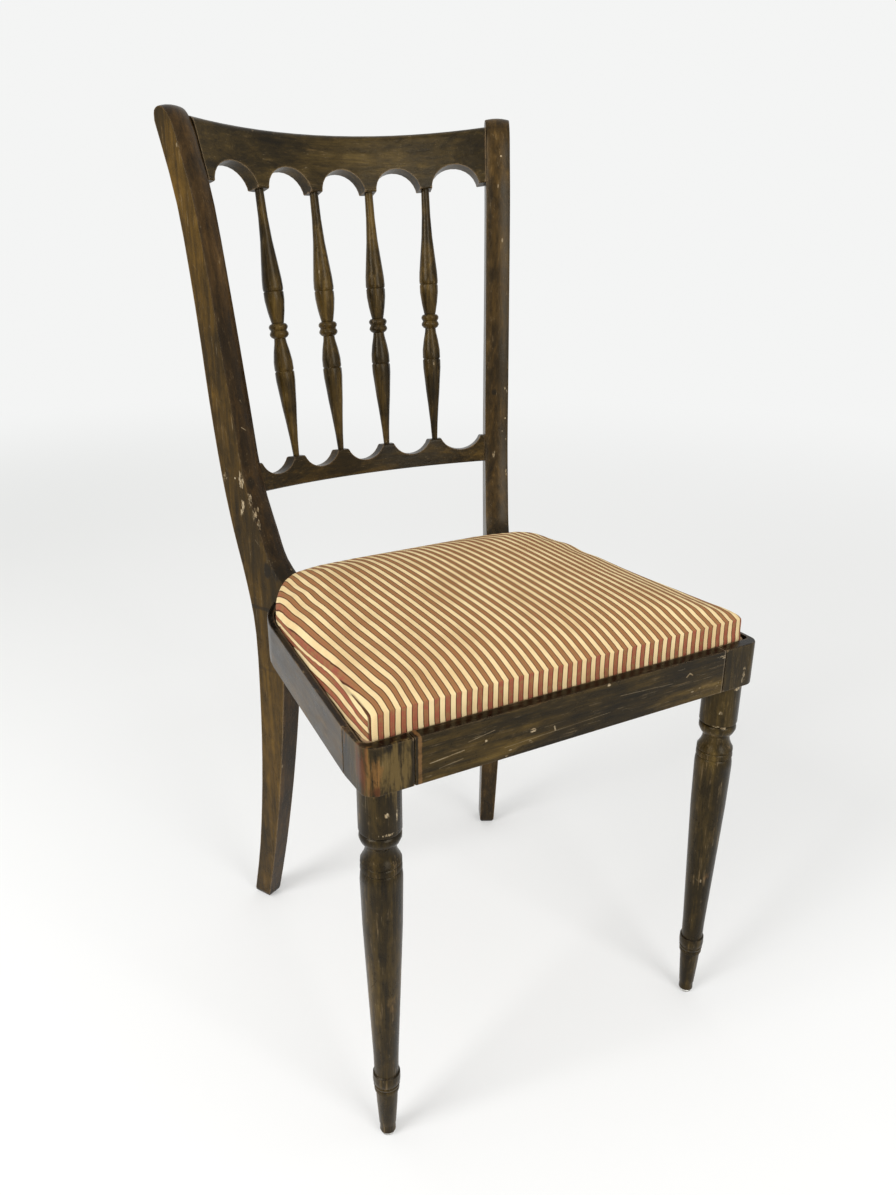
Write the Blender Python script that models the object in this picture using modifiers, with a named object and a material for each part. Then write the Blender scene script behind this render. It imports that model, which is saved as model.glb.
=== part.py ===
"""Old dining chair: turned front legs, sabre back posts, spindle back and a drop-in seat.

The chair is modelled with the axis line of its front legs on y = 0, the seat facing -Y and
the floor at z = 0.  The last step slides the whole chair so that the middle of its box is
over the origin.  All lengths are metres.
"""
import math

import bmesh
import bpy
from mathutils import Matrix, Vector

# Fits
GAP = 0.0003                # clearance between wooden pieces that touch
SEAT_PLAY = 0.0012          # room for the cloth between the cushion and the frame's lip

# Seat frame in plan
LEG_X = 0.1855              # front leg axis, from the middle of the chair
BLOCK = 0.043               # side of the square block on top of a front leg
BLOCK_ROUND = 0.012         # radius of the block's outer corner
CORNER_X = 0.0813           # centre of the rounded rear corner, from the middle
CORNER_Y = 0.2247           # and behind the front leg axis
CORNER_R = 0.107            # outer radius of the rounded rear corner
RAIL_THICK = 0.021          # thickness of the seat hoop and the front rail
RAIL_HEIGHT = 0.044
RAIL_TOP = 0.4325           # height of the frame's top edge
LIP = 0.0065                # width of the lip left outside the rebate, sides and back
FRONT_LIP = 0.0110          # width of the lip along the front
REBATE = 0.010              # depth of the rebate that the seat drops into
EDGE_SOFT = 0.0012          # rounding of the frame's outer edges

# Turned front legs
LEG_R = 0.0185              # radius of the plain drum under the block
LEG_ANKLE_R = 0.0112        # radius where the shaft meets the ankle collar
LEG_TIP_R = 0.0076          # radius at the foot
DRUM_END = 0.3435           # height of the drum's lower end
COLLAR_Z = 0.0670           # height of the ankle collar
GLIDE_R = 0.0066
GLIDE_HEIGHT = 0.0034
GLIDE_PIN_R = 0.0011
GLIDE_PIN = 0.012

# Back posts, cut from a plank that stands radially on the rounded rear corner
POST_TURN = math.radians(26.3)   # angle of the plank from the chair's middle plane, in plan
POST_THICK = 0.0270
POST_FOOT_THICK = 0.0190
POST_SOFT = 0.0014          # rounding of the post's arrises
POST_CROWN = 0.0026         # how far the middle of the upright's front stands out from them
POST_SOLE = 0.0020          # how much of the rounded foot is cut away flat
FOOT_ROUND = 0.0080         # rounding of the foot's lower edges
CHAIR_HEIGHT = 0.9020
POST_FOOT = (0.1738, 0.1975)     # reach of the foot's front and rear edge from the corner centre
POST_SEAT_REAR = 0.1655     # reach of the rear edge at the seat
POST_TOP = (0.2100, 0.2455)      # reach of the front edge below the rounded top, and of the tip
POST_LAND = 0.0015          # how far the upright's front edge stands over the hoop
TOP_CURVE = 0.0440          # height of the post's rounded top
TIP_CURVE = 0.0130          # height of its rounding at the tip

# Back rails, bent to the sweep that lies square on both posts
BAYS = 5                    # arches across the back, with a spindle between each two
TENON = 0.015               # length of the tenons of the back rails
TENON_ROOT = 0.010          # how far a tenon's own block reaches back into its rail
CREST_MID = 0.8655          # height of the crest rail's middle, at its ends
CREST_WIDTH = 0.0603
CREST_THICK = 0.0174
CREST_SET = 0.0013          # how far its face lies behind the post's front edge
CREST_RAKE = math.radians(17.3)
CREST_PITCH = 0.0635        # spacing of the arches
CREST_ROUND = 0.0070        # rounding of its top edges
DROP_WIDTH = 0.0128         # flat end of the drops between the arches
ARCH_RISE = 0.0231
ARCH_SINK = 0.0015          # how far below the rail's edge the arches have their centres
LOWER_MID = 0.5423
LOWER_WIDTH = 0.0308
LOWER_THICK = 0.0140
LOWER_SET = 0.0030
LOWER_RAKE = math.radians(8.4)
LOWER_PITCH = 0.0572
LOWER_ROUND = 0.0020
NUB_WIDTH = 0.0130
SCALLOP_DIP = 0.0149
FRAME_TENON = 0.012         # length of the tenons of the seat frame
FRAME_ROOT = 0.006          # how far such a tenon's own block reaches back into its rail

# Spindles
SPINDLE_R = 0.0109          # at the two fullest places
SPINDLE_TOP_R = 0.0045
SPINDLE_FOOT_R = 0.0032
SPINDLE_PIN = 0.010         # length of the round pins in the rails
SPINDLE_SEAT = 0.0015       # how deep a spindle's own end sits in its rail
PIN_SLIM = 0.0009           # how much slimmer a pin is than its spindle's end

# Drop-in seat
BOARD_THICK = 0.0080
CLOTH = 0.0015              # cloth and wadding over the board's edge
CUSHION_EDGE = 0.0225       # height of the cushion's upper edge above the frame
CUSHION_CROWN = 0.0185      # rise of its middle above that edge
POCKET_CORNER = 0.0060      # corner radius of the rebate and the board
CUSHION_CORNER = 0.0085

# Screws and corner braces
SCREW_R = 0.0020
SCREW_HEAD_R = 0.0040
HEAD_RIM = 0.0005           # straight rim of a screw's head
SCREW_POINT = 0.0040
SINK_ROOM = 0.0120          # how far a screw's clearance runs on above its head
POST_SCREW_EDGE = 0.0090    # distance of the post screws from the frame's edge and the ledge
POST_SCREW_DEEP = 0.0220    # how far they reach into the post
BRACE_REACH = 0.046         # length of a brace along each rail
BRACE_HEIGHT = 0.022
BRACE_SET = 0.004           # height of a brace above the rails' lower edge
BRACE_TOE = 0.006           # thickness of a brace at its two ends
BRACE_SCREW_AT = 0.62       # place of a brace's screws along its reach
BRACE_SCREW_HEAD = 0.011    # length of such a screw in the brace
BRACE_SCREW_DEEP = 0.014    # and in the rail

RAIL_BOTTOM = RAIL_TOP - RAIL_HEIGHT
LEDGE = RAIL_TOP - REBATE
FRONT_Y = -BLOCK / 2
REAR_Y = CORNER_Y + CORNER_R
BLOCK_OUT = LEG_X + BLOCK / 2
BLOCK_IN = LEG_X - BLOCK / 2
POST_DIR = Vector((math.sin(POST_TURN), math.cos(POST_TURN), 0))
POST_NORMAL = Vector((math.cos(POST_TURN), -math.sin(POST_TURN), 0))
ARRIS_TOP = CHAIR_HEIGHT - POST_CROWN / 2
ARC_STEPS = 12
SWEEP_STEPS = 16
ARCH_STEPS = 28
SCALLOP_STEPS = 32
LEG_STEPS = 20
SLIM_STEPS = 12

WOOD = (0.075, 0.043, 0.018)
CLOTH_RED = (0.42, 0.19, 0.10)


def collections():
    """Empty the scene and make the two collections."""
    for thing in list(bpy.data.objects):
        bpy.data.objects.remove(thing, do_unlink=True)
    made = []
    for name in ("dining_chair", "cutters"):
        group = bpy.data.collections.new(name)
        bpy.context.scene.collection.children.link(group)
        made.append(group)
    return made


PARTS, CUTTERS = collections()


def paint(thing, colour, roughness=0.45, metallic=0.0):
    """Give a piece a material of its own."""
    material = bpy.data.materials.new(thing.name + "_finish")
    material.use_nodes = True
    shader = material.node_tree.nodes["Principled BSDF"]
    shader.inputs["Base Color"].default_value = (*colour, 1)
    shader.inputs["Roughness"].default_value = roughness
    shader.inputs["Metallic"].default_value = metallic
    thing.data.materials.clear()
    thing.data.materials.append(material)


def add_mesh(name, mesh, group, matrix=None):
    """Put a mesh into the scene under a name."""
    mesh.name = name
    thing = bpy.data.objects.new(name, mesh)
    group.objects.link(thing)
    if matrix is not None:
        thing.matrix_world = matrix
    if group is CUTTERS:
        thing.hide_render = True
        thing.display_type = "WIRE"
    return thing


def from_bmesh(name, shape, group, matrix=None):
    """Turn a bmesh into an object, with its faces pointing out."""
    bmesh.ops.recalc_face_normals(shape, faces=shape.faces)
    mesh = bpy.data.meshes.new(name)
    shape.to_mesh(mesh)
    shape.free()
    return add_mesh(name, mesh, group, matrix)


def plate(name, outline, low, high, group, matrix=None):
    """A flat outline, filled as a 2D curve and given its thickness from low to high."""
    curve = bpy.data.curves.new(name, "CURVE")
    curve.dimensions = "2D"
    curve.fill_mode = "BOTH"
    curve.extrude = (high - low) / 2
    spline = curve.splines.new("POLY")
    spline.points.add(len(outline) - 1)
    for point, (x, y) in zip(spline.points, outline):
        point.co = (x, y, 0, 1)
    spline.use_cyclic_u = True
    guide = bpy.data.objects.new(name, curve)
    bpy.context.scene.collection.objects.link(guide)
    bpy.context.view_layer.update()
    seen = guide.evaluated_get(bpy.context.evaluated_depsgraph_get())
    mesh = bpy.data.meshes.new_from_object(seen)
    bpy.data.objects.remove(guide)
    shape = bmesh.new()
    shape.from_mesh(mesh)
    bpy.data.meshes.remove(mesh)
    bmesh.ops.remove_doubles(shape, verts=shape.verts, dist=0.00001)
    bmesh.ops.dissolve_limit(shape, angle_limit=0.0005, verts=shape.verts, edges=shape.edges)
    bmesh.ops.translate(shape, verts=shape.verts, vec=(0, 0, (low + high) / 2))
    return from_bmesh(name, shape, group, matrix)


def box(name, size, matrix, group=None):
    """A block of the given size about the origin of its matrix."""
    shape = bmesh.new()
    bmesh.ops.create_cube(shape, size=1)
    bmesh.ops.scale(shape, verts=shape.verts, vec=size)
    return from_bmesh(name, shape, group or CUTTERS, matrix)


def rod(name, radius, start, end, group=None, sides=16):
    """A round bar between two points."""
    start, end = Vector(start), Vector(end)
    run = end - start
    shape = bmesh.new()
    bmesh.ops.create_cone(shape, cap_ends=True, segments=sides, radius1=radius,
                          radius2=radius, depth=run.length)
    turn = run.to_track_quat("Z", "Y").to_matrix().to_4x4()
    return from_bmesh(name, shape, group or CUTTERS, Matrix.Translation((start + end) / 2) @ turn)


def turned(name, profile, steps, group, matrix=None):
    """A turned piece: (radius, height) pairs from top to bottom, revolved with Screw."""
    mesh = bpy.data.meshes.new(name)
    points = [(radius, 0, height) for radius, height in profile]
    mesh.from_pydata(points, [(i, i + 1) for i in range(len(points) - 1)], [])
    thing = add_mesh(name, mesh, group, matrix)
    screw = thing.modifiers.new("turn", "SCREW")
    screw.steps = steps
    screw.render_steps = steps
    screw.use_merge_vertices = True
    screw.merge_threshold = 0.00001
    screw.use_smooth_shade = True
    bake(thing)
    return thing


def bake(thing):
    """Apply a piece's modifiers."""
    bpy.context.view_layer.update()
    seen = thing.evaluated_get(bpy.context.evaluated_depsgraph_get())
    mesh = bpy.data.meshes.new_from_object(seen)
    thing.modifiers.clear()
    old = thing.data
    thing.data = mesh
    mesh.name = thing.name
    bpy.data.meshes.remove(old)


def combine(thing, other, operation):
    """Cut a piece with another one, or join the two."""
    change = thing.modifiers.new(operation.lower(), "BOOLEAN")
    change.operation = operation
    change.solver = "EXACT"
    change.object = other
    bake(thing)


def cut(thing, *tools):
    for tool in tools:
        combine(thing, tool, "DIFFERENCE")


def join(thing, other):
    """Weld a piece onto another, and drop the spare copy."""
    combine(thing, other, "UNION")
    bpy.data.objects.remove(other)


def soften(thing, width, segments=2, angle=40):
    """Round a piece's sharp edges."""
    bevel = thing.modifiers.new("soften", "BEVEL")
    bevel.width = width
    bevel.segments = segments
    bevel.limit_method = "ANGLE"
    bevel.angle_limit = math.radians(angle)
    bevel.use_clamp_overlap = True
    bake(thing)


def finish(thing, colour=WOOD, roughness=0.42, metallic=0.0, sharp=35):
    """Shade a piece smooth up to its sharp edges and paint it."""
    thing.data.shade_smooth()
    thing.data.set_sharp_from_angle(angle=math.radians(sharp))
    paint(thing, colour, roughness, metallic)


def arc(cx, cy, radius, start, end, steps):
    """Points on an arc, in radians from +X."""
    angles = [start + (end - start) * i / steps for i in range(steps + 1)]
    return [(cx + radius * math.cos(a), cy + radius * math.sin(a)) for a in angles]


def side_angle():
    """Turn of the frame's straight side: the tangent from the block to the rear corner."""
    run_x = BLOCK_OUT - CORNER_X
    run_y = CORNER_Y - BLOCK / 2
    return math.atan2(run_x, run_y) - math.asin(CORNER_R / math.hypot(run_x, run_y))


SIDE_TURN = side_angle()


def side_x(y, inset):
    """Half width of the frame at y, on a line set in from its outer face."""
    normal_x, normal_y = math.cos(SIDE_TURN), math.sin(SIDE_TURN)
    reach = CORNER_R - inset
    return CORNER_X + (reach - (y - CORNER_Y) * normal_y) / normal_x


def mirror_round(half):
    """Close a right half, given from front to back, with its mirror image."""
    return half + [(-x, y) for x, y in reversed(half) if abs(x) > 1e-9]


def seat_outline(inset, front_inset, front_round):
    """The frame's outline in plan, set in from its outer faces."""
    y = FRONT_Y + front_inset
    x = side_x(y, inset)
    corner = arc(x - front_round, y + front_round, front_round, -math.pi / 2, SIDE_TURN, 4)
    rear = arc(CORNER_X, CORNER_Y, CORNER_R - inset, SIDE_TURN, math.pi / 2, ARC_STEPS)
    return mirror_round(corner + rear)


def hoop_outline():
    """Plan of the bent seat hoop: round the outside, and back along the inside."""
    end = BLOCK / 2 + GAP
    outer = [(side_x(end, 0), end)]
    outer += arc(CORNER_X, CORNER_Y, CORNER_R, SIDE_TURN, math.pi / 2, ARC_STEPS)
    inner = [(side_x(end, RAIL_THICK), end)]
    inner += arc(CORNER_X, CORNER_Y, CORNER_R - RAIL_THICK, SIDE_TURN, math.pi / 2, ARC_STEPS)
    inner = mirror_round(inner)
    return mirror_round(outer) + inner[::-1]


def smooth_through(points, steps):
    """A smooth line through the points, by Catmull and Rom's rule."""
    line = []
    last = len(points) - 1
    for i in range(last):
        before = Vector(points[max(i - 1, 0)])
        start, end = Vector(points[i]), Vector(points[i + 1])
        after = Vector(points[min(i + 2, last)])
        for k in range(steps):
            t = k / steps
            spot = 2 * start + (end - before) * t
            spot += (2 * before - 5 * start + 4 * end - after) * t ** 2
            spot += (3 * start - before - 3 * end + after) * t ** 3
            line.append(tuple(spot / 2))
    line.append(tuple(points[-1]))
    return line


def post_front_edge():
    """Front edge of a post as (reach, height): leg, land on the hoop, then the upright."""
    foot = POST_FOOT[0]
    land = CORNER_R - POST_LAND
    leg = [(foot, -POST_SOLE), (foot - 0.0180, 0.20 * RAIL_BOTTOM), (foot - 0.0355, 0.45 * RAIL_BOTTOM),
           (foot - 0.0491, 0.70 * RAIL_BOTTOM), (foot - 0.0578, 0.92 * RAIL_BOTTOM),
           (land, RAIL_BOTTOM)]
    top = POST_TOP[0]
    bend, waist, knee = upright_heights()
    shoulder, neck = top_heights()
    flare = [(land, RAIL_TOP), (CORNER_R + 0.0206, RAIL_TOP + 0.0245),
             (CORNER_R + 0.0324, bend), (CORNER_R + 0.0509, waist), (CORNER_R + 0.0622, knee),
             (top - 0.0277, shoulder), (top - 0.0123, neck), (top, ARRIS_TOP - TOP_CURVE)]
    return smooth_through(leg, 3), smooth_through(flare, 3)


def upright_heights():
    """Three heights above the seat at which both edges of a post are given."""
    return RAIL_TOP + 0.0544, RAIL_TOP + 0.1128, RAIL_TOP + 0.1907


def top_heights():
    """Two heights below the top at which both edges of a post are given."""
    return ARRIS_TOP - 0.1854, ARRIS_TOP - 0.0881


def post_rear_edge():
    """Rear edge of a post as (reach, height), from the tip down to the foot."""
    foot, tip, seat = POST_FOOT[1], POST_TOP[1], POST_SEAT_REAR
    bend, waist, knee = upright_heights()
    shoulder, neck = top_heights()
    points = [(tip - 0.0030, ARRIS_TOP - TIP_CURVE), (tip - 0.0240, neck), (tip - 0.0370, shoulder),
              (seat + 0.0346, knee), (seat + 0.0250, waist), (seat + 0.0140, bend),
              (seat, RAIL_TOP - 0.0041), (seat - 0.0082, RAIL_BOTTOM - 0.0185),
              (seat - 0.0061, 0.70 * RAIL_BOTTOM), (foot - 0.0300, 0.45 * RAIL_BOTTOM),
              (foot - 0.0167, 0.20 * RAIL_BOTTOM), (foot, -POST_SOLE)]
    return smooth_through(points, 3)


def post_top():
    """The rounded top of a post, from its front edge over the crown to its tip."""
    front, tip = POST_TOP
    points = [(front, ARRIS_TOP - TOP_CURVE), (front + 0.0075, ARRIS_TOP - 0.0180),
              (front + 0.0155, ARRIS_TOP - 0.0050), (front + 0.0235, ARRIS_TOP),
              (tip - 0.0040, ARRIS_TOP - 0.0035), (tip - 0.0030, ARRIS_TOP - TIP_CURVE)]
    return smooth_through(points, 3)


LEG_EDGE, UPRIGHT_EDGE = post_front_edge()


def front_reach(height):
    """Reach of the upright's front edge at a height."""
    for (low_d, low_z), (high_d, high_z) in zip(UPRIGHT_EDGE, UPRIGHT_EDGE[1:]):
        if low_z <= height <= high_z:
            return low_d + (high_d - low_d) * (height - low_z) / (high_z - low_z)
    return UPRIGHT_EDGE[-1][0]


def post_frame(side):
    """Axes of a post's plank: reach, height and thickness, from the corner's centre."""
    frame = Matrix((POST_DIR, (0, 0, 1), POST_NORMAL)).transposed().to_4x4()
    frame = Matrix.Translation((CORNER_X, CORNER_Y, 0)) @ frame
    return frame if side > 0 else Matrix.Scale(-1, 4, (1, 0, 0)) @ frame


def flipped(thing, name):
    """The mirror image of a right-hand piece, as an object of its own."""
    shape = bmesh.new()
    shape.from_mesh(thing.data)
    shape.transform(Matrix.Scale(-1, 4, (1, 0, 0)) @ thing.matrix_world)
    bmesh.ops.reverse_faces(shape, faces=shape.faces)
    mesh = bpy.data.meshes.new(name)
    shape.to_mesh(mesh)
    shape.free()
    return add_mesh(name, mesh, PARTS)


def settle(thing):
    """Move a piece's placement into its mesh."""
    thing.data.transform(thing.matrix_world)
    thing.matrix_world = Matrix.Identity(4)


class BackRail:
    """A rail bent to the sweep of the back, and the place of its parts.

    Its own frame has the origin at the middle of the lower edge of the front face, X across,
    Y to the rear and Z up the rake.  Its ends lie square on the posts' inner faces.
    """

    def __init__(self, mid, width, thick, set_back, rake, pitch):
        reach = front_reach(mid) + set_back
        end = Vector((CORNER_X, CORNER_Y, mid)) + POST_DIR * reach - POST_NORMAL * POST_THICK / 2
        self.half = end.x
        self.width = width
        self.thick = thick
        self.radius = end.x / math.sin(POST_TURN)
        sweep = self.radius * (1 - math.cos(POST_TURN))
        rake_sin, rake_cos = math.sin(rake), math.cos(rake)
        low = Vector((0, end.y + sweep * rake_cos - width / 2 * rake_sin,
                      end.z - sweep * rake_sin - width / 2 * rake_cos))
        self.frame = Matrix.Translation(low) @ Matrix.Rotation(-rake, 4, "X")
        self.bay = pitch

    def angle(self, x):
        return math.asin(x / self.radius)

    def spot(self, x, depth, height):
        """A point at x on the front face, then depth into the wood, in the rail's frame."""
        turn = self.angle(x)
        reach = self.radius + depth
        return Vector((reach * math.sin(turn), reach * math.cos(turn) - self.radius, height))

    def turned_at(self, x, depth, height):
        """Axes at a point of the rail, with Y straight through the wood."""
        return Matrix.Translation(self.spot(x, depth, height)) @ Matrix.Rotation(
            -self.angle(x), 4, "Z")

    def slab(self, name, top_round):
        """The bent blank: a section with rounded top edges, spun about the sweep's axis."""
        reach = POST_TURN + 0.02
        low, high = EDGE_SOFT, self.width - top_round
        near, far = self.radius, self.radius + self.thick
        section = [(near + low, 0), (far - low, 0), (far, low)]
        section += arc(far - top_round, high, top_round, 0, math.pi / 2, 3)
        section += arc(near + top_round, high, top_round, math.pi / 2, math.pi, 3)
        section += [(near, low)]
        shape = bmesh.new()
        corners = [shape.verts.new((r * math.sin(-reach), r * math.cos(-reach), z))
                   for r, z in section]
        face = shape.faces.new(corners)
        bmesh.ops.spin(shape, geom=[face], cent=(0, 0, 0), axis=(0, 0, -1),
                       angle=2 * reach, steps=SWEEP_STEPS, use_duplicate=False)
        bmesh.ops.translate(shape, verts=shape.verts, vec=(0, -self.radius, 0))
        return from_bmesh(name, shape, PARTS)

    def tenon_size(self, ease):
        return (TENON + TENON_ROOT + ease, self.thick * 0.42 + 2 * ease,
                self.width * 0.60 + 2 * ease)

    def tenon(self, name, side, ease, group):
        """A tenon at one end, or with ease its mortise's cutter."""
        size = self.tenon_size(ease)
        place = self.turned_at(side * self.half, self.thick / 2, self.width * 0.47)
        shift = (TENON - TENON_ROOT + ease) / 2
        return box(name, size, place @ Matrix.Translation((side * shift, 0, 0)), group)

    def trim_ends(self, thing):
        """Cut the blank's ends off where the posts' inner faces are."""
        deep = 4 * POST_THICK
        size = (3 * CORNER_R, 2.5 * CHAIR_HEIGHT, deep)
        beyond = deep / 2 - POST_THICK / 2 - GAP
        for side in (1, -1):
            face = post_frame(1) @ Matrix.Translation((1.5 * CORNER_R, 0, beyond))
            if side < 0:
                face = Matrix.Scale(-1, 4, (1, 0, 0)) @ face
            tool = box("end_cut", size, Matrix.Identity(4))
            tool.data.transform(self.frame.inverted() @ face)
            if side < 0:
                tool.data.flip_normals()
            cut(thing, tool)
            bpy.data.objects.remove(tool)


CREST = BackRail(CREST_MID, CREST_WIDTH, CREST_THICK, CREST_SET, CREST_RAKE, CREST_PITCH)
LOWER = BackRail(LOWER_MID, LOWER_WIDTH, LOWER_THICK, LOWER_SET, LOWER_RAKE, LOWER_PITCH)


def spindle_ends(index):
    """Top and bottom of a spindle's visible part."""
    step = index - (BAYS - 2) / 2
    top = CREST.frame @ CREST.spot(step * CREST.bay, CREST_THICK / 2, 0)
    foot = LOWER.frame @ LOWER.spot(step * LOWER.bay, LOWER_THICK / 2, LOWER_WIDTH)
    return top, foot


def back_rail(name, rail, top_round, cutters):
    """Make a back rail: blank, trimmed ends, shaped edge, tenons and spindle holes."""
    thing = rail.slab(name, top_round)
    rail.trim_ends(thing)
    cut(thing, *cutters)
    soften(thing, EDGE_SOFT, 1, 60)
    for side in (1, -1):
        join(thing, rail.tenon("tenon", side, 0, PARTS))
    thing.matrix_world = rail.frame
    settle(thing)
    return thing


def arch_cutters():
    """Round arches cut radially into the crest rail's lower edge."""
    tools = []
    for k in range(BAYS):
        x = (k - (BAYS - 1) / 2) * CREST.bay
        half = (CREST.bay - DROP_WIDTH) / 2
        centre_z = -ARCH_SINK
        shape = bmesh.new()
        bmesh.ops.create_cone(shape, cap_ends=True, segments=ARCH_STEPS, radius1=half, radius2=half,
                              depth=4 * CREST_THICK)
        stretch = 1 / math.cos(CREST.angle(x))
        rise = (ARCH_RISE - centre_z) / half
        bmesh.ops.scale(shape, verts=shape.verts, vec=(stretch, rise, 1))
        place = CREST.turned_at(x, CREST_THICK / 2, centre_z) @ Matrix.Rotation(math.pi / 2, 4, "X")
        tools.append(from_bmesh("arch_cut", shape, CUTTERS, place))
    return tools


def scallop_cutters():
    """Scallops cut radially into the lower rail's upper edge."""
    tools = []
    for k in range(BAYS):
        x = (k - (BAYS - 1) / 2) * LOWER.bay
        half = (LOWER.bay - NUB_WIDTH) / 2
        radius = (half ** 2 + SCALLOP_DIP ** 2) / (2 * SCALLOP_DIP)
        centre_z = LOWER_WIDTH - SCALLOP_DIP + radius
        shape = bmesh.new()
        bmesh.ops.create_cone(shape, cap_ends=True, segments=SCALLOP_STEPS, radius1=radius,
                              radius2=radius, depth=4 * LOWER_THICK)
        stretch = 1 / math.cos(LOWER.angle(x))
        bmesh.ops.scale(shape, verts=shape.verts, vec=(stretch, 1, 1))
        place = LOWER.turned_at(x, LOWER_THICK / 2, centre_z) @ Matrix.Rotation(math.pi / 2, 4, "X")
        tools.append(from_bmesh("scallop_cut", shape, CUTTERS, place))
    return tools


def spindle_profile(length):
    """Radius down a spindle, as parts of its length, between two slim ends."""
    full, top, foot = SPINDLE_R, SPINDLE_TOP_R, SPINDLE_FOOT_R
    waist, bead = 0.60 * full, 0.93 * full
    shape = [(top, 0.0), (top + 0.0005, 0.100), (top + 0.0019, 0.183), (0.79 * full, 0.257),
             (0.96 * full, 0.320), (full, 0.352), (0.98 * full, 0.362), (0.90 * full, 0.366),
             (0.98 * full, 0.370), (0.97 * full, 0.398), (0.83 * full, 0.440),
             (0.66 * full, 0.474), (waist, 0.484), (0.80 * full, 0.487), (bead, 0.494),
             (bead, 0.501), (0.78 * full, 0.511), (bead, 0.521), (bead, 0.528),
             (0.78 * full, 0.536), (0.95 * waist, 0.541), (0.62 * full, 0.557),
             (0.80 * full, 0.590), (0.94 * full, 0.628), (0.95 * full, 0.658),
             (0.87 * full, 0.6635), (0.96 * full, 0.669), (0.95 * full, 0.700),
             (0.81 * full, 0.761), (0.74 * full, 0.795), (0.58 * full, 0.853),
             (0.40 * full, 0.930), (foot, 1.0)]
    return [(radius, -part * length) for radius, part in shape]


def make_spindles():
    """Four turned spindles between the two back rails, with a round pin at each end."""
    made = []
    for index in range(BAYS - 1):
        top, foot = spindle_ends(index)
        run = foot - top
        length = run.length + 2 * SPINDLE_SEAT
        pin_top, pin_foot = SPINDLE_TOP_R - PIN_SLIM, SPINDLE_FOOT_R - PIN_SLIM
        profile = [(0, SPINDLE_PIN), (pin_top, SPINDLE_PIN), (pin_top, 0)]
        profile += spindle_profile(length)
        profile += [(pin_foot, -length), (pin_foot, -length - SPINDLE_PIN),
                    (0, -length - SPINDLE_PIN)]
        turn = (-run).to_track_quat("Z", "Y").to_matrix().to_4x4()
        place = Matrix.Translation(top - run.normalized() * SPINDLE_SEAT) @ turn
        spindle = turned("spindle_%d" % (index + 1), profile, SLIM_STEPS, PARTS, place)
        settle(spindle)
        finish(spindle)
        made.append(spindle)
    return made


def pin_cutters(end):
    """Sockets for the spindles in one back rail: end 0 is the crest, 1 the lower rail."""
    tools = []
    for index in range(BAYS - 1):
        ends = spindle_ends(index)
        run = (ends[1] - ends[0]).normalized() * (1 if end else -1)
        wide = (SPINDLE_FOOT_R if end else SPINDLE_TOP_R) + GAP
        seat = ends[end] + run * (SPINDLE_SEAT + GAP)
        tools.append(rod("seat_hole", wide, ends[end] - run * SPINDLE_TOP_R, seat))
        tools.append(rod("pin_hole", wide - PIN_SLIM, ends[end], seat + run * SPINDLE_PIN))
    return tools


def make_back():
    """Crest rail, lower rail and the spindles between them."""
    crest = back_rail("crest_rail", CREST, CREST_ROUND, arch_cutters())
    lower = back_rail("lower_back_rail", LOWER, LOWER_ROUND, scallop_cutters())
    cut(crest, *pin_cutters(0))
    cut(lower, *pin_cutters(1))
    finish(crest)
    finish(lower)
    make_spindles()


def eased_corner(before, corner, after):
    """A foot's corner as a round: the quadratic curve between two points beside it."""
    before, corner, after = Vector(before), Vector(corner), Vector(after)
    start = corner + (before - corner).normalized() * FOOT_ROUND
    end = corner + (after - corner).normalized() * FOOT_ROUND
    steps = 4
    line = []
    for i in range(steps + 1):
        t = i / steps
        line.append(tuple((1 - t) ** 2 * start + 2 * t * (1 - t) * corner + t ** 2 * end))
    return line


def post_outline():
    """Closed outline of a post in the plane of its plank."""
    top = post_top()
    rear = post_rear_edge()
    heel = eased_corner(rear[-2], rear[-1], LEG_EDGE[0])
    toe = eased_corner(rear[-1], LEG_EDGE[0], LEG_EDGE[1])
    return toe + LEG_EDGE[1:] + UPRIGHT_EDGE[:-1] + top[:-1] + rear[:-1] + heel


def slice_plank(shape, faces, spot, normal):
    """Cut a line of new edges into some faces of a plank."""
    parts = set(faces)
    for face in faces:
        parts.update(face.edges)
        parts.update(face.verts)
    bmesh.ops.bisect_plane(shape, geom=list(parts), plane_co=spot, plane_no=normal)


def crown_front(shape):
    """Crown the upright's front and top: they stand out by POST_CROWN (1 - across^2)."""
    line = [Vector(point) for point in UPRIGHT_EDGE + post_top()[1:]]
    half = POST_THICK / 2
    for level in (-0.75, -0.40, 0, 0.40, 0.75):
        rims = [face for face in shape.faces if abs(face.normal.z) < 0.5
                and face.calc_center_median().y > RAIL_TOP]
        slice_plank(shape, rims, (0, 0, level * half), (0, 0, 1))
    for vertex in shape.verts:
        near = min(range(len(line)), key=lambda i: (line[i] - vertex.co.xy).length)
        if (line[near] - vertex.co.xy).length > 0.0001:
            continue
        run = (line[min(near + 1, len(line) - 1)] - line[max(near - 1, 0)]).normalized()
        fade = min((len(line) - 1 - near) / 9, 1)
        swell = POST_CROWN * fade * (1 - (vertex.co.z / half) ** 2)
        vertex.co.x -= run.y * swell
        vertex.co.y += run.x * swell


def thin_foot(shape):
    """Thin the plank towards the foot, and round its sides in at the sole."""
    for height in (0.0005, 0.0025, 0.0055):
        slice_plank(shape, list(shape.faces), (0, height, 0), (0, 1, 0))
    for vertex in shape.verts:
        part = min(max(1 - vertex.co.y / (0.75 * RAIL_BOTTOM), 0), 1)
        wide = POST_THICK + (POST_FOOT_THICK - POST_THICK) * part
        below = max(FOOT_ROUND - POST_SOLE - vertex.co.y, 0)
        pinch = FOOT_ROUND - math.sqrt(FOOT_ROUND ** 2 - min(below, FOOT_ROUND) ** 2)
        vertex.co.z *= (wide - 2 * pinch) / POST_THICK


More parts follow.
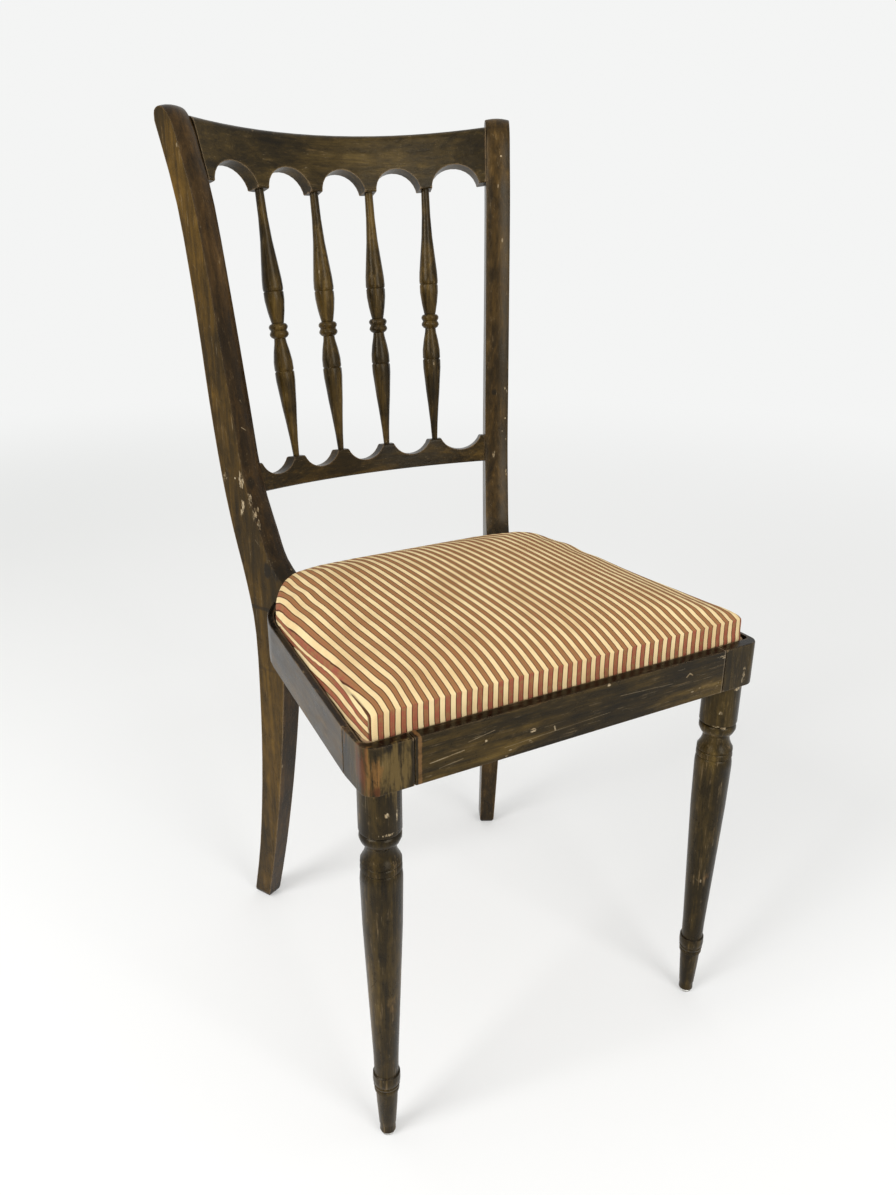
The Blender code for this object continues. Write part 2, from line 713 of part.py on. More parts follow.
def make_posts(hoop_cutter):
    """The two back posts: plank outline, crowned front, thinner foot, softened, then jointed."""
    wide, deep = 4 * CORNER_R, 0.1
    floor = box("sole_cut", (wide, wide, deep), Matrix.Translation((0, CORNER_Y + CORNER_R, -deep / 2)))
    post = plate("post_right", post_outline(), -POST_THICK / 2, POST_THICK / 2, PARTS)
    shape = bmesh.new()
    shape.from_mesh(post.data)
    crown_front(shape)
    thin_foot(shape)
    shape.to_mesh(post.data)
    shape.free()
    soften(post, POST_SOFT, 2)
    post.matrix_world = post_frame(1)
    settle(post)
    cut(post, hoop_cutter, floor)
    for rail in (CREST, LOWER):
        tool = rail.tenon("mortise_cut", 1, GAP, CUTTERS)
        tool.data.transform(rail.frame @ tool.matrix_world)
        tool.matrix_world = Matrix.Identity(4)
        cut(post, tool)
    for height in screw_heights():
        start, end = post_screw_line(height)
        cut(post, rod("post_screw_hole", SCREW_R + GAP, start, end + (end - start) * 0.01))
    left = flipped(post, "post_left")
    finish(post)
    finish(left)


def screw_heights():
    """Heights of the two screws that hold a post, below the seat's ledge."""
    return RAIL_BOTTOM + POST_SCREW_EDGE, LEDGE - POST_SCREW_EDGE


def post_screw_line(height):
    """Line of a post screw: from the hoop's inner face into the post."""
    centre = Vector((CORNER_X, CORNER_Y, height))
    return (centre + POST_DIR * (CORNER_R - RAIL_THICK),
            centre + POST_DIR * (CORNER_R + POST_SCREW_DEEP))


def screw(name, start, end, colour=(0.45, 0.40, 0.30)):
    """A countersunk screw, with the top of its head at start."""
    start, end = Vector(start), Vector(end)
    run = end - start
    length = run.length
    head = SCREW_HEAD_R - SCREW_R
    profile = [(0, 0), (SCREW_HEAD_R, 0), (SCREW_HEAD_R, -HEAD_RIM), (SCREW_R, -HEAD_RIM - head),
               (SCREW_R, -length + SCREW_POINT), (0, -length)]
    turn = (-run).to_track_quat("Z", "Y").to_matrix().to_4x4()
    thing = turned(name, profile, SLIM_STEPS, PARTS, Matrix.Translation(start) @ turn)
    settle(thing)
    finish(thing, colour, 0.35, 1.0)
    return thing


def sink_cutter(start, end):
    """Clearance for a countersunk screw, open above its head."""
    start, end = Vector(start), Vector(end)
    run = end - start
    length = run.length
    head = SCREW_HEAD_R - SCREW_R
    wide, slim = SCREW_HEAD_R + GAP, SCREW_R + GAP
    rim = HEAD_RIM + GAP
    profile = [(0, SINK_ROOM), (wide, SINK_ROOM), (wide, -rim), (slim, -rim - head),
               (slim, -length - GAP), (0, -length - GAP)]
    turn = (-run).to_track_quat("Z", "Y").to_matrix().to_4x4()
    return turned("sink_cut", profile, SLIM_STEPS, CUTTERS, Matrix.Translation(start) @ turn)


def leg_profile():
    """Radius and height down a front leg, from inside the block to the foot."""
    drum, ankle, tip = LEG_R, LEG_ANKLE_R, LEG_TIP_R
    neck, ring = 0.71 * drum, 0.955 * drum
    end, collar = DRUM_END, COLLAR_Z
    foot = GLIDE_HEIGHT + GAP
    sunk = RAIL_BOTTOM + 0.004
    profile = [(0, sunk), (drum, sunk), (drum, end + 0.0022),
               (0.985 * drum, end + 0.0008), (0.91 * drum, end), (0.885 * drum, end - 0.0010),
               (0.95 * drum, end - 0.0022), (0.985 * drum, end - 0.0044),
               (0.97 * drum, end - 0.0072), (0.90 * drum, end - 0.0102),
               (0.80 * drum, end - 0.0130), (0.73 * drum, end - 0.0142), (neck, end - 0.0170),
               (0.75 * drum, end - 0.0212), (0.84 * drum, end - 0.0252), (ring, end - 0.0288),
               (0.965 * drum, end - 0.0306), (0.90 * drum, end - 0.0322),
               (0.965 * drum, end - 0.0340), (0.975 * drum, end - 0.0374),
               (0.90 * drum, end - 0.0392), (0.955 * drum, end - 0.0410),
               (0.985 * drum, end - 0.0440)]
    shaft_top = end - 0.0480
    shaft_end = collar + 0.0110
    profile += [(drum + (ankle - drum) * part, shaft_top + (shaft_end - shaft_top) * along)
                for along, part in ((0.0, 0.0), (0.22, 0.13), (0.45, 0.40), (0.70, 0.70),
                                    (0.9, 0.94), (1.0, 1.0))]
    bulge = ankle * 1.15
    profile += [(bulge * 0.98, collar + 0.0098), (bulge, collar + 0.0040), (bulge * 0.97, collar - 0.0008),
                (bulge * 0.89, collar - 0.0022), (bulge * 0.95, collar - 0.0036),
                (bulge * 0.93, collar - 0.0050), (bulge * 0.87, collar - 0.0060),
                (bulge * 0.915, collar - 0.0074), (bulge * 0.90, collar - 0.0104),
                (ankle * 0.92, collar - 0.0116), (ankle * 0.86, 0.040),
                (tip + 0.0003, foot + 0.010), (tip - 0.0003, foot + 0.0088), (tip, foot + 0.0012),
                (tip - 0.0012, foot), (0, foot)]
    return profile


def block_outline():
    """Plan of the right leg's block, with its outer corner rounded."""
    corner = arc(BLOCK_OUT - BLOCK_ROUND, FRONT_Y + BLOCK_ROUND, BLOCK_ROUND, -math.pi / 2, 0, 6)
    return [(BLOCK_IN, FRONT_Y)] + corner + [(BLOCK_OUT, BLOCK / 2), (BLOCK_IN, BLOCK / 2)]


def frame_tenon_height():
    """Lower and upper limit of the seat frame's tenons."""
    return RAIL_BOTTOM + 0.006, LEDGE - 0.005


def front_tenon(name, side, ease, group):
    """Tenon of the front rail into a leg's block, or its mortise."""
    low, high = frame_tenon_height()
    length = FRAME_TENON + FRAME_ROOT
    size = (length + ease, RAIL_THICK * 0.38 + 2 * ease, high - low + 2 * ease)
    x = BLOCK_IN + FRAME_TENON - length / 2 + ease / 2
    place = Matrix.Translation((side * x, FRONT_Y + RAIL_THICK / 2, (low + high) / 2))
    return box(name, size, place, group)


def hoop_tenon(name, side, ease, group):
    """Tenon of the seat hoop's end into a leg's block, or its mortise."""
    low, high = frame_tenon_height()
    length = FRAME_TENON + FRAME_ROOT
    size = (RAIL_THICK * 0.38 + 2 * ease, length + ease, high - low + 2 * ease)
    x = side_x(BLOCK / 2, RAIL_THICK / 2)
    y = BLOCK / 2 - FRAME_TENON + length / 2 - ease / 2
    return box(name, size, Matrix.Translation((side * x, y, (low + high) / 2)), group)


def make_legs(pocket):
    """Front legs, each turned from one piece with its block, and the metal glides."""
    block = plate("block", block_outline(), RAIL_BOTTOM, RAIL_TOP, PARTS)
    soften(block, EDGE_SOFT, 2)
    leg = turned("front_leg_right", leg_profile(), LEG_STEPS, PARTS, Matrix.Translation((LEG_X, 0, 0)))
    settle(leg)
    join(leg, block)
    pin_top = GLIDE_HEIGHT + GLIDE_PIN + GAP
    cut(leg, pocket, front_tenon("mortise_cut", 1, GAP, CUTTERS),
        hoop_tenon("mortise_cut", 1, GAP, CUTTERS),
        rod("glide_hole", GLIDE_PIN_R + GAP, (LEG_X, 0, -0.004), (LEG_X, 0, pin_top)))
    left = flipped(leg, "front_leg_left")
    finish(leg)
    finish(left)
    dome = [(0, GLIDE_HEIGHT + GLIDE_PIN), (GLIDE_PIN_R, GLIDE_HEIGHT + GLIDE_PIN - 0.001),
            (GLIDE_PIN_R, GLIDE_HEIGHT), (GLIDE_R - 0.0006, GLIDE_HEIGHT),
            (GLIDE_R, GLIDE_HEIGHT - 0.0010), (0.92 * GLIDE_R, 0.0010), (0.72 * GLIDE_R, 0),
            (0, 0)]
    for side, name in ((1, "glide_right"), (-1, "glide_left")):
        glide = turned(name, dome, 14, PARTS, Matrix.Translation((side * LEG_X, 0, 0)))
        settle(glide)
        finish(glide, (0.45, 0.44, 0.42), 0.3, 1.0)


def make_front_rail(pocket):
    """Straight front rail between the blocks."""
    half = BLOCK_IN - GAP
    outline = [(-half, FRONT_Y), (half, FRONT_Y), (half, FRONT_Y + RAIL_THICK),
               (-half, FRONT_Y + RAIL_THICK)]
    rail = plate("front_rail", outline, RAIL_BOTTOM, RAIL_TOP, PARTS)
    soften(rail, EDGE_SOFT, 2)
    cut(rail, pocket)
    for side in (1, -1):
        join(rail, front_tenon("tenon", side, 0, PARTS))
        start, end = rail_screw_line(side)
        cut(rail, sink_cutter(start, end))
    finish(rail)


def make_hoop(pocket):
    """The bent seat hoop: both sides, the round rear corners and the back in one piece."""
    hoop = plate("seat_hoop", hoop_outline(), RAIL_BOTTOM, RAIL_TOP, PARTS)
    soften(hoop, EDGE_SOFT, 2)
    cut(hoop, pocket)
    for side in (1, -1):
        join(hoop, hoop_tenon("tenon", side, 0, PARTS))
        start, end = hoop_screw_line(side)
        cut(hoop, sink_cutter(start, end))
        for height in screw_heights():
            start, end = post_screw_line(height)
            start.x *= side
            end.x *= side
            cut(hoop, sink_cutter(start, end))
    finish(hoop)


def brace_outline():
    """Plan of the right front corner brace, notched round the leg's block."""
    rail_in = FRONT_Y + RAIL_THICK + GAP
    rear = BLOCK / 2 + BRACE_REACH
    inset = RAIL_THICK + GAP
    return [(BLOCK_IN - BRACE_REACH, rail_in), (BLOCK_IN - GAP, rail_in),
            (BLOCK_IN - GAP, BLOCK / 2 + GAP), (side_x(BLOCK / 2 + GAP, inset), BLOCK / 2 + GAP),
            (side_x(rear, inset), rear), (side_x(rear, inset) - BRACE_TOE, rear),
            (BLOCK_IN - BRACE_REACH, rail_in + BRACE_TOE)]


def brace_height():
    """Height of the screws through the corner braces."""
    return RAIL_BOTTOM + BRACE_SET + BRACE_HEIGHT / 2


def rail_screw_line(side):
    """Screw from a brace into the front rail."""
    x = side * (BLOCK_IN - BRACE_SCREW_AT * BRACE_REACH)
    inner = FRONT_Y + RAIL_THICK
    return (Vector((x, inner + BRACE_SCREW_HEAD, brace_height())),
            Vector((x, inner - BRACE_SCREW_DEEP, brace_height())))


def hoop_screw_line(side):
    """Screw from a brace into the side of the seat hoop."""
    y = BLOCK / 2 + BRACE_SCREW_AT * BRACE_REACH
    x = side_x(y, RAIL_THICK)
    return (Vector((side * (x - BRACE_SCREW_HEAD), y, brace_height())),
            Vector((side * (x + BRACE_SCREW_DEEP), y, brace_height())))


def make_braces():
    """Front corner braces under the seat, each held by two screws."""
    low = RAIL_BOTTOM + BRACE_SET
    brace = plate("corner_brace_right", brace_outline(), low, low + BRACE_HEIGHT, PARTS)
    cut(brace, sink_cutter(*rail_screw_line(1)), sink_cutter(*hoop_screw_line(1)))
    left = flipped(brace, "corner_brace_left")
    finish(brace, (0.30, 0.19, 0.10), 0.7)
    finish(left, (0.30, 0.19, 0.10), 0.7)
    for side, word in ((1, "right"), (-1, "left")):
        screw("brace_screw_front_%s" % word, *rail_screw_line(side))
        screw("brace_screw_side_%s" % word, *hoop_screw_line(side))


def make_post_screws():
    """Two screws through the hoop into each post."""
    for side, word in ((1, "right"), (-1, "left")):
        for height, level in zip(screw_heights(), ("lower", "upper")):
            start, end = post_screw_line(height)
            start.x *= side
            end.x *= side
            screw("post_screw_%s_%s" % (word, level), start, end)


def seat_inset():
    return LIP + SEAT_PLAY, FRONT_LIP + SEAT_PLAY


def make_seat():
    """Drop-in seat: a thin board in the rebate, with the crowned cushion over it."""
    inset, front = seat_inset()
    outline = seat_outline(inset + CLOTH, front + CLOTH, POCKET_CORNER)
    low = LEDGE + GAP
    board = plate("seat_board", outline, low, low + BOARD_THICK, PARTS)
    finish(board, (0.48, 0.33, 0.19), 0.7)
    edge = RAIL_TOP + CUSHION_EDGE
    brow, brow_rise = 0.0140, 0.0030
    rings = [(0.0010, low), (0.0, low + 0.003), (0.0, RAIL_TOP + 0.002), (-0.0004, RAIL_TOP + 0.010),
             (0.0010, edge - 0.0050), (0.0040, edge), (brow, edge + brow_rise)]
    shape = bmesh.new()
    loops = []
    for more, height in rings:
        points = seat_outline(inset + more, front + more, CUSHION_CORNER)
        loops.append([shape.verts.new((x, y, height)) for x, y in points])
    centre = Vector((0, (FRONT_Y + REAR_Y) / 2, 0))
    inner = seat_outline(inset + brow, front + brow, CUSHION_CORNER)
    for scale in (0.82, 0.62, 0.40, 0.18):
        rise = brow_rise + (CUSHION_CROWN - brow_rise) * (1 - scale ** 2.2)
        ring = [centre + (Vector((x, y, 0)) - centre) * scale for x, y in inner]
        loops.append([shape.verts.new((p.x, p.y, edge + rise)) for p in ring])
    for lower, upper in zip(loops, loops[1:]):
        count = len(lower)
        for i in range(count):
            k = (i + 1) % count
            shape.faces.new((lower[i], lower[k], upper[k], upper[i]))
    shape.faces.new(list(reversed(loops[0])))
    shape.faces.new(loops[-1])
    cushion = from_bmesh("seat_cushion", shape, PARTS)
    room = plate("board_room", seat_outline(inset + CLOTH - GAP, front + CLOTH - GAP, POCKET_CORNER),
                 low - BOARD_THICK, low + BOARD_THICK + GAP, CUTTERS)
    cut(cushion, room)
    finish(cushion, CLOTH_RED, 0.85, 0.0, 50)


def centre_chair():
    """Hang every piece on one empty, moved so that the chair's box is centred over it."""
    bpy.context.view_layer.update()
    reach = [(thing.matrix_world @ Vector(corner)).y
             for thing in PARTS.objects for corner in thing.bound_box]
    place = bpy.data.objects.new("chair_origin", None)
    PARTS.objects.link(place)
    place.location = (0, -(min(reach) + max(reach)) / 2, 0)
    for thing in list(PARTS.objects):
        if thing is not place:
            thing.parent = place


def main():
    pocket = plate("seat_pocket", seat_outline(LIP, FRONT_LIP, POCKET_CORNER), LEDGE,
                   RAIL_TOP + REBATE, CUTTERS)
    hoop_room = plate("hoop_room", seat_outline(-GAP, -GAP, BLOCK_ROUND), RAIL_BOTTOM - GAP,
                      RAIL_TOP + GAP, CUTTERS)
    make_legs(pocket)
    make_front_rail(pocket)
    make_hoop(pocket)
    make_posts(hoop_room)
    make_back()
    make_braces()
    make_post_screws()
    make_seat()
    centre_chair()


main()
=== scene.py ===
"""Looks of the old dining chair: camera, light, worn dark varnish and the striped cushion.

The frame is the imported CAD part.  The chair faces -Y and stands on z = 0.  The cushion's CAD
node is replaced by a simulated one, and each varnished node by a smooth copy of itself; the
other nodes keep their meshes and get materials.
"""
import math

import bmesh
import bpy
import numpy as np
from mathutils import Matrix, Vector


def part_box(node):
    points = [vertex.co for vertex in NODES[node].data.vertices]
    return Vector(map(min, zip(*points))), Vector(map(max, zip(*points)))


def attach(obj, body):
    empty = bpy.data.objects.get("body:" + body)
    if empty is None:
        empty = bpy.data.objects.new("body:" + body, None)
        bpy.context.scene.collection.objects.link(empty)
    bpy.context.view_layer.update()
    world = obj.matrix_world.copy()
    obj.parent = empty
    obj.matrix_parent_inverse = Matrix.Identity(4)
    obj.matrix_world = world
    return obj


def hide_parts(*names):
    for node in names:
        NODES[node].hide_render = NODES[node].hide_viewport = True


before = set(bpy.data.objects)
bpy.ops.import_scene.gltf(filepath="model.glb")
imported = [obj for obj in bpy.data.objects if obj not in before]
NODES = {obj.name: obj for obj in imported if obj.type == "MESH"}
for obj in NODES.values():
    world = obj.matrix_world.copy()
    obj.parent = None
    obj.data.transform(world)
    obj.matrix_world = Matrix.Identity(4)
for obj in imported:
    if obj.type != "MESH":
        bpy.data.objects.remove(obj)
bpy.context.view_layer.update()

LEG_Y = (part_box("glide_left")[0].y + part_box("glide_left")[1].y) / 2   # axis line of the front legs
RAIL_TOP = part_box("seat_hoop")[1].z
FRONT_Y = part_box("front_rail")[0].y

# The photograph's camera, from the front legs' axis line on the floor
CAMERA_PLACE = (-0.4754, -0.6205, 0.8271)
CAMERA_YAW = 0.51697
CAMERA_PITCH = 0.38857
CAMERA_ROLL = 0.00446
FOCAL_PIXELS = 994.28
PHOTO_WIDTH = 896
SENSOR = 36.0

# Seat frame in plan, in the part's own frame
CORNER_X = 0.0813           # centre of the round rear corner
CORNER_Y = 0.2247 + LEG_Y
CORNER_R = 0.107
FRAME_HALF = 0.207          # half width at the front blocks
BLOCK_BACK = 0.0215         # from the legs' axis line to the blocks' back

# Cushion
SIDE_INSET = 0.0078         # cushion's sides inside the frame's outer face
FRONT_INSET = 0.0124
SEAT_BOTTOM = RAIL_TOP - 0.0075
SEAT_EDGE = RAIL_TOP + 0.0225
SEAT_CROWN = 0.0210         # rise of the middle above the edge, before the two profiles are joined
OUTLINE_POINTS = 260
CORNER_PULL = 0.0055        # how far the cloth is pulled in at the front corners
EDGE_SHARP = 0.0022         # radius of the upper edge at the front
EDGE_SOFT = 0.0130          # radius of the upper edge behind
SIDE_LEAN = 0.0060          # most that the sides lean in, behind the front corners
FOLD_SLOPE = 0.095          # turn of the folds at the front corners
FOLD_REACH = 0.105          # length of the folds
STRIPE = 0.0100             # period of the stripes
STRIPE_AT = -0.0017         # middle of a cream stripe
WARP = 0.00062              # period of the threads along the cloth
WEFT = 0.00070              # period of the threads across it
TWILL = 0.0017              # period of the slanting rib
VOXEL = 0.0042              # mesh size of the simulated cloth
CLOTH_FRAMES = 20
CLOTH_MOVE = 0.0012         # most that the simulation may move a point

WOOD_SPECULAR = 0.18
WOOD_SHEEN = (1.0, 0.88, 0.68, 1)      # colour of the varnish's reflections
SHARP_TURN = 38             # degrees between faces, past which an edge stays sharp
VARNISH = ((0.41, (0.006, 0.004, 0.0025)), (0.49, (0.018, 0.011, 0.0040)),
           (0.56, (0.046, 0.027, 0.0080)), (0.67, (0.120, 0.072, 0.022)))
RUBBED_RED = (0.150, 0.074, 0.024, 1)
RUBBED_GOLD = (0.150, 0.098, 0.036, 1)
STREAK = (0.205, 0.140, 0.072, 1)
# pale arris colour: rubbed wear and a painted highlight
RIM_WEAR_AND_HIGHLIGHT = (0.260, 0.185, 0.110, 1)
# a near black, for real dark lines and marks and for painted shade
GRIME_AND_SHADE = (0.006, 0.0045, 0.003)
SCRATCH = (0.25, 0.19, 0.11, 1)
CHIP_DARK = (0.22, 0.15, 0.075, 1)
CHIP_PALE = (0.42, 0.34, 0.22, 1)
HONEY = (0.125, 0.082, 0.026)          # stains on the near leg's block
BRICK = (0.085, 0.022, 0.008)
AMBER = (0.185, 0.085, 0.022)
OXBLOOD = (0.055, 0.014, 0.005)

# the red on the cloth's top is tanner, as a painted sheen
BRICK_RED = (0.320, 0.092, 0.052, 1)   # the cloth's red on its upright sides
TOP_SHEEN_RED = (0.335, 0.150, 0.060, 1)     # and on its top
FADED_RED = (0.300, 0.150, 0.060, 1)
RED_CORE = (0.18, 0.060, 0.030, 1)     # thin line in the middle of a red stripe
CREAM = (0.80, 0.63, 0.345, 1)
SOILED_CREAM = (0.72, 0.53, 0.27, 1)
EDGE_LINE = (0.085, 0.026, 0.010, 1)

BACKDROP = (0.905, 0.91, 0.905, 1)
DUSK = (0.80, 0.81, 0.80, 1)           # shade of the floor to the left
WORLD_LOW = 0.34            # light from the horizon
WORLD_HIGH = 0.78           # light from above
LAMP_AIM = (0, 0, 0.4)


class Graph:
    """A material's node tree, built from short calls."""

    def __init__(self, name):
        self.material = bpy.data.materials.new(name)
        self.material.use_nodes = True
        self.tree = self.material.node_tree
        self.tree.nodes.clear()

    def feed(self, socket, value):
        if isinstance(value, bpy.types.NodeSocket):
            self.tree.links.new(value, socket)
        else:
            socket.default_value = value

    def add(self, kind, inputs=None, **settings):
        node = self.tree.nodes.new("ShaderNode" + kind)
        for key, value in settings.items():
            setattr(node, key, value)
        for key, value in (inputs or {}).items():
            self.feed(node.inputs[key], value)
        return node

    def math(self, operation, a, b=0.0, c=0.0, clamp=False):
        node = self.add("Math", {0: a, 1: b, 2: c}, operation=operation, use_clamp=clamp)
        return node.outputs[0]

    def vector(self, operation, a, b=(0, 0, 0)):
        node = self.add("VectorMath", {0: a, 1: b}, operation=operation)
        return node.outputs["Value" if operation in ("LENGTH", "DOT_PRODUCT") else 0]

    def mix(self, part, a, b, blend="MIX"):
        node = self.add("Mix", {0: part, 6: a, 7: b}, data_type="RGBA", blend_type=blend)
        return node.outputs[2]

    def blend(self, part, a, b):
        """Mix of two numbers."""
        return self.add("Mix", {0: part, 2: a, 3: b}).outputs[0]

    def smooth(self, value, low, high):
        node = self.add("MapRange", {"Value": value, "From Min": low, "From Max": high},
                        interpolation_type="SMOOTHSTEP")
        return node.outputs[0]

    def noise(self, place, detail=2.0, rough=0.5, bend=0.0):
        node = self.add("TexNoise", {"Vector": place, "Scale": 1.0, "Detail": detail,
                                     "Roughness": rough, "Distortion": bend})
        return node.outputs[0]

    def ramp(self, value, stops):
        node = self.add("ValToRGB", {0: value})
        band = node.color_ramp
        for i, (spot, colour) in enumerate(stops):
            stop = band.elements[i] if i < 2 else band.elements.new(spot)
            stop.position = spot
            stop.color = (*colour, 1)
        return node.outputs[0]

    def stretch(self, place, size):
        return self.vector("MULTIPLY", place, size)

    def blob(self, place, centre, size, soft=0.4):
        """1 inside an ellipsoid, fading to 0 outside it."""
        away = self.vector("SUBTRACT", place, centre)
        away = self.vector("DIVIDE", away, size)
        return self.smooth(self.vector("LENGTH", away), 1.0 + soft, 1.0 - soft)

    def stroke(self, place, start, end, half):
        """1 on the straight line from start to end, fading to 0 past its half width."""
        run = np.subtract(end, start)
        span = float(run @ run)
        off = self.vector("SUBTRACT", place, start)
        along = self.vector("DOT_PRODUCT", off, tuple(float(c) / max(span, 1e-9) for c in run))
        along = self.math("ADD", along, 0.0, clamp=True)
        foot = self.add("VectorMath", {0: tuple(float(c) for c in run), "Scale": along},
                        operation="SCALE").outputs[0]
        away = self.vector("LENGTH", self.vector("SUBTRACT", off, foot))
        return self.smooth(away, half * 1.5, half * 0.5)

    def surface(self, colour, roughness, normal=None, metallic=0.0, specular=0.5, **more):
        shader = self.add("BsdfPrincipled", {"Base Color": colour, "Roughness": roughness,
                                             "Metallic": metallic,
                                             "Specular IOR Level": specular})
        for key, value in more.items():
            self.feed(shader.inputs[key.replace("_", " ").title()], value)
        if normal is not None:
            self.feed(shader.inputs["Normal"], normal)
        output = self.add("OutputMaterial")
        self.tree.links.new(shader.outputs[0], output.inputs[0])
        return self.material


def along_z(g, place):
    """The grain of an upright piece already lies on the third axis."""
    return place


def along_x(g, place):
    """Turn a place so that the grain, which runs along X, lies on the third axis."""
    part = g.add("SeparateXYZ", {0: place})
    return g.add("CombineXYZ", {0: part.outputs[1], 1: part.outputs[2],
                                2: part.outputs[0]}).outputs[0]


def along_hoop(g, place):
    """Place on the bent hoop: depth into the wood, height, and distance round the bend.

    With a = max(|x| - CORNER_X, 0) and b = max(y - CORNER_Y, 0), the depth is sqrt(a^2 + b^2)
    and the distance is min(y, CORNER_Y) + CORNER_R atan2(b, a) - min(|x|, CORNER_X).
    """
    part = g.add("SeparateXYZ", {0: place})
    x, y, z = part.outputs[0], part.outputs[1], part.outputs[2]
    half = g.math("ABSOLUTE", x)
    a = g.math("MAXIMUM", g.math("SUBTRACT", half, CORNER_X), 0.0)
    b = g.math("MAXIMUM", g.math("SUBTRACT", y, CORNER_Y), 0.0)
    depth = g.math("SQRT", g.math("ADD", g.math("MULTIPLY", a, a), g.math("MULTIPLY", b, b)))
    depth = g.math("ADD", depth, g.math("SIGN", x))
    run = g.math("MULTIPLY_ADD", g.math("ARCTAN2", b, a), CORNER_R,
                 g.math("MINIMUM", y, CORNER_Y))
    run = g.math("SUBTRACT", run, g.math("MINIMUM", half, CORNER_X))
    return g.add("CombineXYZ", {0: depth, 1: z, 2: run}).outputs[0]


def wood(name, grain=along_z, seed=0.0, tone=0.0, tint=(1, 1, 1), rub=0.0, streaks=0.3,
         contrast=1.0, flakes=(), strokes=(), stains=(), bands=(), sides=()):
    """Old dark varnish: grain, rubbed arrises, scratches, chips, and painted shade and highlights.

    tone lightens it, contrast is how strong the grain is, tint colours it, rub widens the rubbed
    patches and streaks is how strong the light streaks along the grain are.  flakes are (centre,
    size, amount) of places where it has flaked, strokes are (start, end, half width, amount) of
    scratches, stains are (centre, size, colour, amount) and bands are (normal, distance, half
    width, colour, amount).  sides are (direction, tint) of faces given painted light or painted
    shade: the tint lightens or darkens the faces that turn that way.
    """
    g = Graph(name)
    place = g.add("TexCoord").outputs["Object"]
    p = g.vector("ADD", grain(g, place), (1.7 * seed, 0.9 * seed, 2.3 * seed))

    broad = g.noise(g.stretch(p, (22, 22, 6)), 3, 0.55, 0.4)
    figure = g.noise(g.stretch(p, (170, 170, 11)), 4, 0.62, 0.6)
    fine = g.noise(g.stretch(p, (900, 900, 40)), 2, 0.6)
    mottle = g.noise(g.stretch(p, (85, 85, 40)), 5, 0.68, 0.4)
    value = g.math("MULTIPLY_ADD", broad, 0.40, g.math("MULTIPLY", figure, 0.28))
    value = g.math("MULTIPLY_ADD", mottle, 0.24, value)
    value = g.math("MULTIPLY_ADD", fine, 0.10, value)
    value = g.math("MULTIPLY_ADD", g.math("SUBTRACT", value, 0.51), contrast, 0.51 + tone)
    colour = g.ramp(value, VARNISH)
    colour = g.mix(1.0, colour, (*tint, 1), "MULTIPLY")
    facing = g.add("NewGeometry").outputs["Normal"]
    # painted light and painted shade: faces that turn toward a direction are tinted lighter or darker
    for toward, shade in sides:
        turned = g.vector("DOT_PRODUCT", facing, toward)
        other = g.mix(1.0, colour, (*shade, 1), "MULTIPLY")
        colour = g.mix(g.smooth(turned, 0.55, 0.85), colour, other)

    # rubbed arrises, found as thin places inside, and painted shade in the corners, found by occlusion
    # outside
    inside = g.add("AmbientOcclusion", {"Distance": 0.0030}, samples=6, inside=True,
                   only_local=True).outputs["AO"]
    outside = g.add("AmbientOcclusion", {"Distance": 0.012}, samples=6).outputs["AO"]
    arris = g.smooth(inside, 0.84, 0.50)
    ragged = g.noise(g.stretch(p, (330, 330, 100)), 4, 0.7)
    patches = g.noise(g.stretch(p, (34, 34, 14)), 4, 0.65, 0.6)
    patches = g.math("MULTIPLY_ADD", g.math("SUBTRACT", ragged, 0.5), 0.40, patches)
    worn_edge = g.smooth(g.math("MULTIPLY_ADD", arris, 0.30, g.math(
        "MULTIPLY_ADD", patches, 0.45, g.math("MULTIPLY", ragged, 0.55))), 0.66, 0.80)
    worn_patch = g.smooth(g.math("ADD", patches, rub), 0.62, 0.76)
    worn = g.math("MAXIMUM", g.math("MULTIPLY", worn_edge, 0.60),
                  g.math("MULTIPLY", worn_patch, 0.50))
    warm = g.mix(g.smooth(broad, 0.35, 0.65), RUBBED_RED, RUBBED_GOLD)
    colour = g.mix(worn, colour, warm)

    streak = g.noise(g.stretch(p, (420, 420, 16)), 3, 0.6)
    streak = g.math("MULTIPLY", g.smooth(streak, 0.58, 0.70), g.smooth(mottle, 0.44, 0.60))
    colour = g.mix(g.math("MULTIPLY", streak, streaks), colour, STREAK)
    # rubbed wear and a painted highlight along the arrises, broken up by noise
    rim_wear_and_highlight = g.math("MULTIPLY_ADD", g.math("SUBTRACT", ragged, 0.5), 0.5, arris)
    rim_wear_and_highlight = g.smooth(rim_wear_and_highlight, 0.62, 0.95)
    colour = g.mix(g.math("MULTIPLY", rim_wear_and_highlight, 0.55), colour, RIM_WEAR_AND_HIGHLIGHT)

    # painted shade: darker where the wood is hidden from the light, in corners, grooves and under
    # parts
    painted_shade = g.smooth(outside, 0.82, 0.34)
    colour = g.mix(g.math("MULTIPLY", painted_shade, 0.80), colour, (*GRIME_AND_SHADE, 1))
    for centre, size, shade, amount in stains:
        spot = g.blob(place, centre, size, 0.9)
        torn = g.math("MULTIPLY_ADD", g.math("SUBTRACT", figure, 0.5), 2.6, spot)
        torn = g.math("MULTIPLY_ADD", g.math("SUBTRACT", mottle, 0.5), 1.4, torn)
        spot = g.math("MULTIPLY", g.smooth(torn, 0.45, 1.0), g.smooth(spot, 0.0, 0.3))
        colour = g.mix(g.math("MULTIPLY", spot, amount), colour, (*shade, 1))

